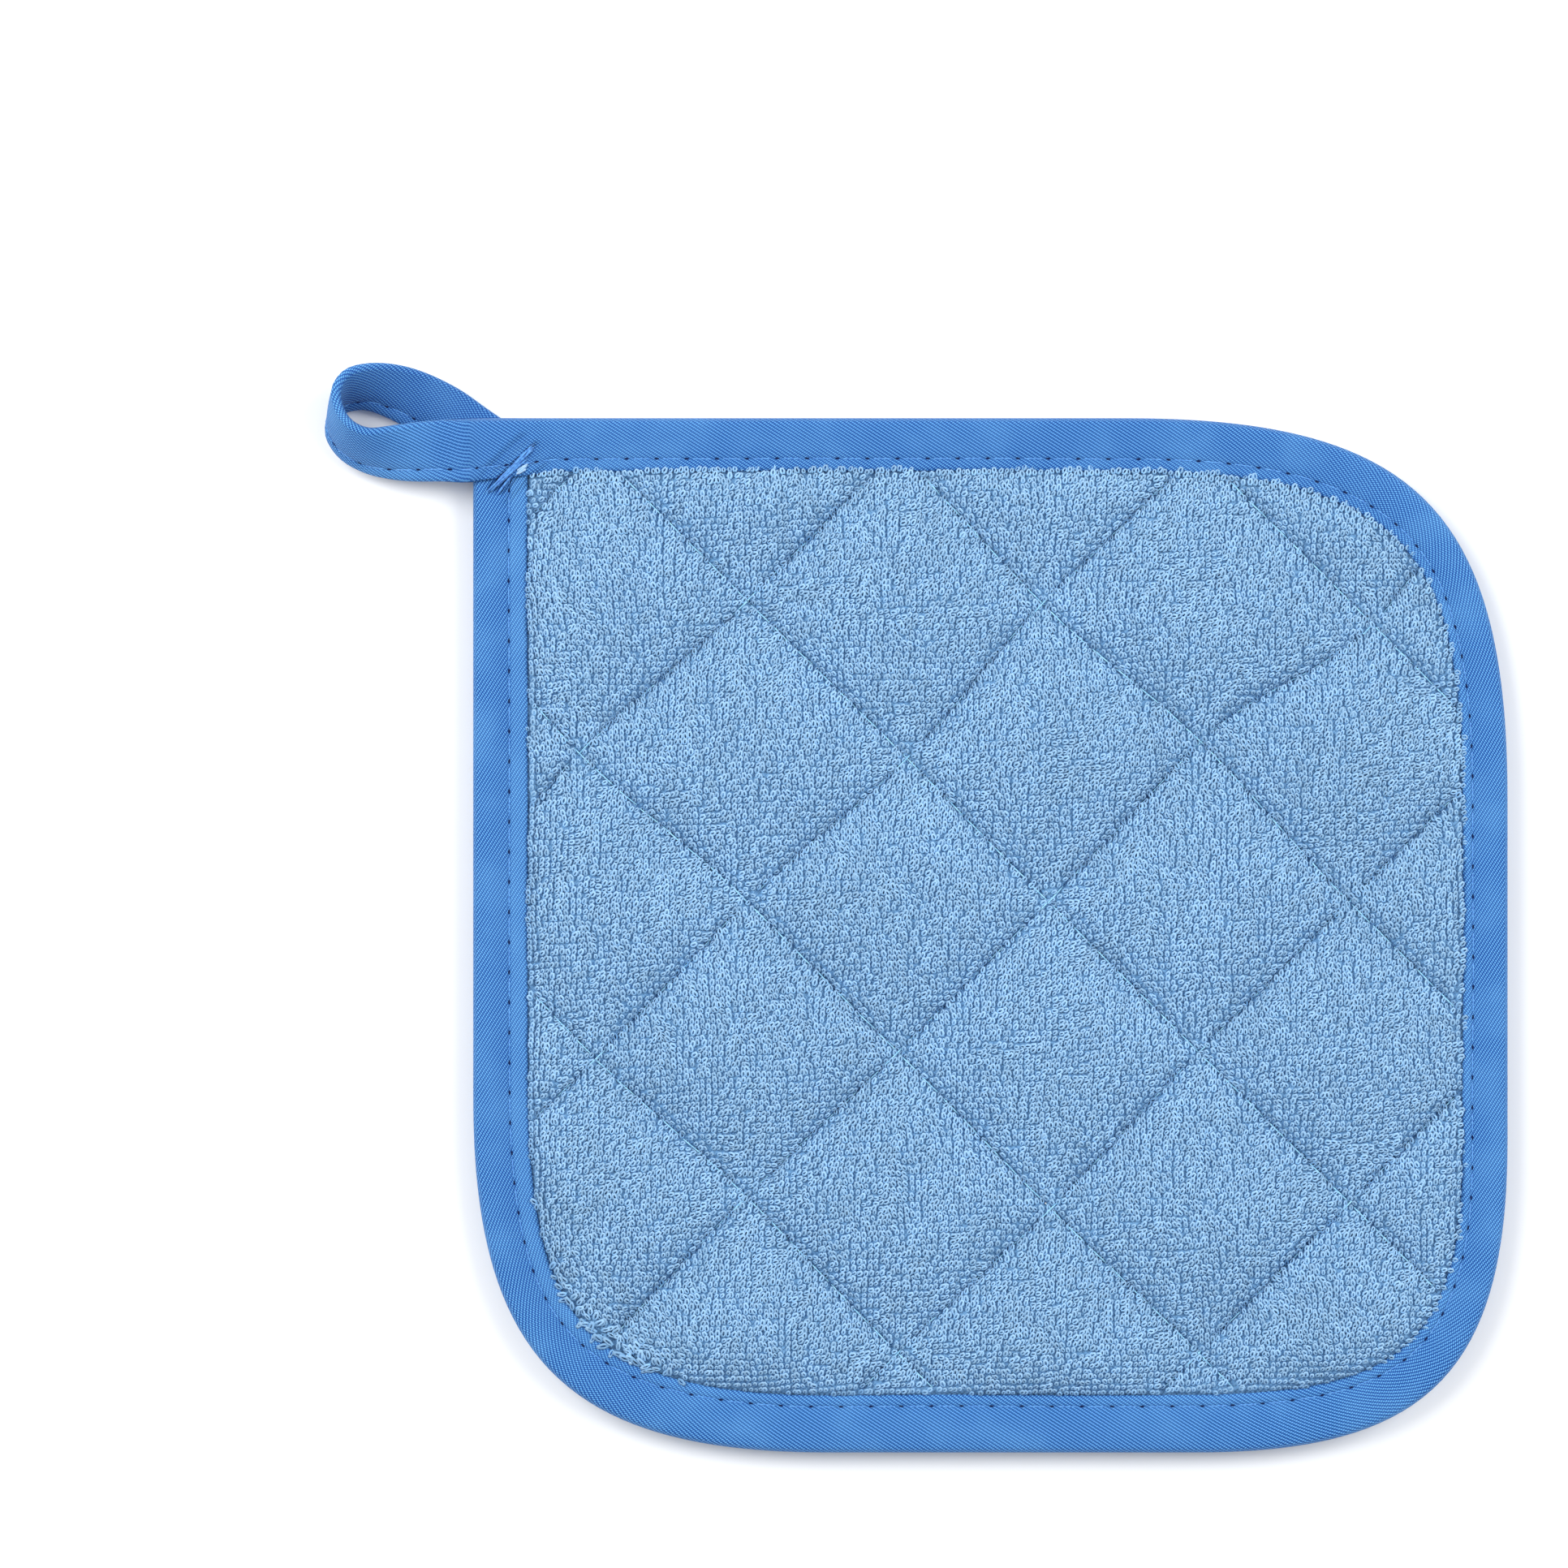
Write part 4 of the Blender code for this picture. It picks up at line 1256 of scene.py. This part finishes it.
# Strands of the corner's tack, loosely laid: middle along it and beside it, height, turn, length.
cornerTack = {
    "strands": ((0.2, 0.35, 7.75, 2.0, 10.6), (-0.6, 0.0, 7.9, -1.5, 10.2),
                (0.9, -0.2, 7.85, 3.5, 8.4), (-1.4, -0.45, 7.85, -3.0, 8.0),
                (0.4, 0.15, 8.0, 5.0, 7.0), (-3.6, -1.2, 7.35, 9.0, 4.2),
                (-4.0, -0.2, 7.4, -12.0, 3.6), (3.7, 0.4, 7.7, -9.0, 3.4)),
    "fleck": ((0.7, -1.5, 7.95, -4.0, 2.6), (1.05, -1.25, 8.0, -10.0, 2.2),
              (0.5, -1.75, 7.85, -14.0, 1.9)),
    "over": (1.0, 0.22, 0.2, 0.75), "under": (1.0, 0.22, 0.04, 0.75),     # length, radius, arch, dip
    "underLevel": 0.3, "underStrands": 5,
}


def tackStrands(name, strands, thread, tree, material, under=False):
    middle, turn, _ = tapeFinish["tack"]
    rows = np.array(strands)
    angle = math.radians(turn)
    run = np.array((math.cos(angle), math.sin(angle)))
    beside = np.array((-math.sin(angle), math.cos(angle)))
    points = np.column_stack([middle + rows[:, 0:1] * run + rows[:, 1:2] * beside, rows[:, 2]])
    if under:
        points[:, 2] = cornerTack["underLevel"]
    way = angle + np.radians(rows[:, 3])
    ahead = np.stack([np.cos(way), np.sin(way), np.zeros(len(rows))], 1)
    up = np.tile((0.0, 0.0, -1.0 if under else 1.0), (len(rows), 1))
    sewn(name, (points, ahead, up), tree, thread, 0.0, 5, material, "tape", stretch=rows[:, 4])


def sewCorner(tree, blue, pale):
    strands, over = cornerTack["strands"], cornerTack["over"]
    tackStrands("corner_tack", strands, over, tree, blue)
    tackStrands("corner_tack_under", strands[:cornerTack["underStrands"]], cornerTack["under"], tree, blue,
                under=True)
    tackStrands("corner_tack_fleck", cornerTack["fleck"], over, tree, pale)
    print("corner tack sewn")


setStage()

terryMaterial = terryYarn()
groundMaterial = terryGround()
silverMaterial = silverCloth()
tapeMaterial = tapeCloth(tape["stitchPitch"])
blueThread, tackThread, paleThread, cyanThread, whiteThread = (threadFinish(name) for name in threads)

ground = quiltedBody("terry_face", quiltedSheet("front"), terryGroundLevel, 1, groundMaterial)
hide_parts("terry_front")
print("terry face made")

back = quiltedBody("silver_face", quiltedSheet("back"), silverLevel, -1, silverMaterial)
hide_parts("silver_back")
print("silver face made")

terryPile(terryMaterial)
stitches = stitchTree()
quiltStitches(stitches, cyanThread, whiteThread)

edge, stitchPaths, cutSize = edgeTape(tapeMaterial)
edgeStitches(stitches, stitchPaths, blueThread)
sewCorner(stitches, tackThread, paleThread)

total = 0
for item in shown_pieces():
    item.data.calc_loop_triangles()
    total += len(item.data.loop_triangles)
    print(item.name, len(item.data.loop_triangles))
print("triangles in all:", total)
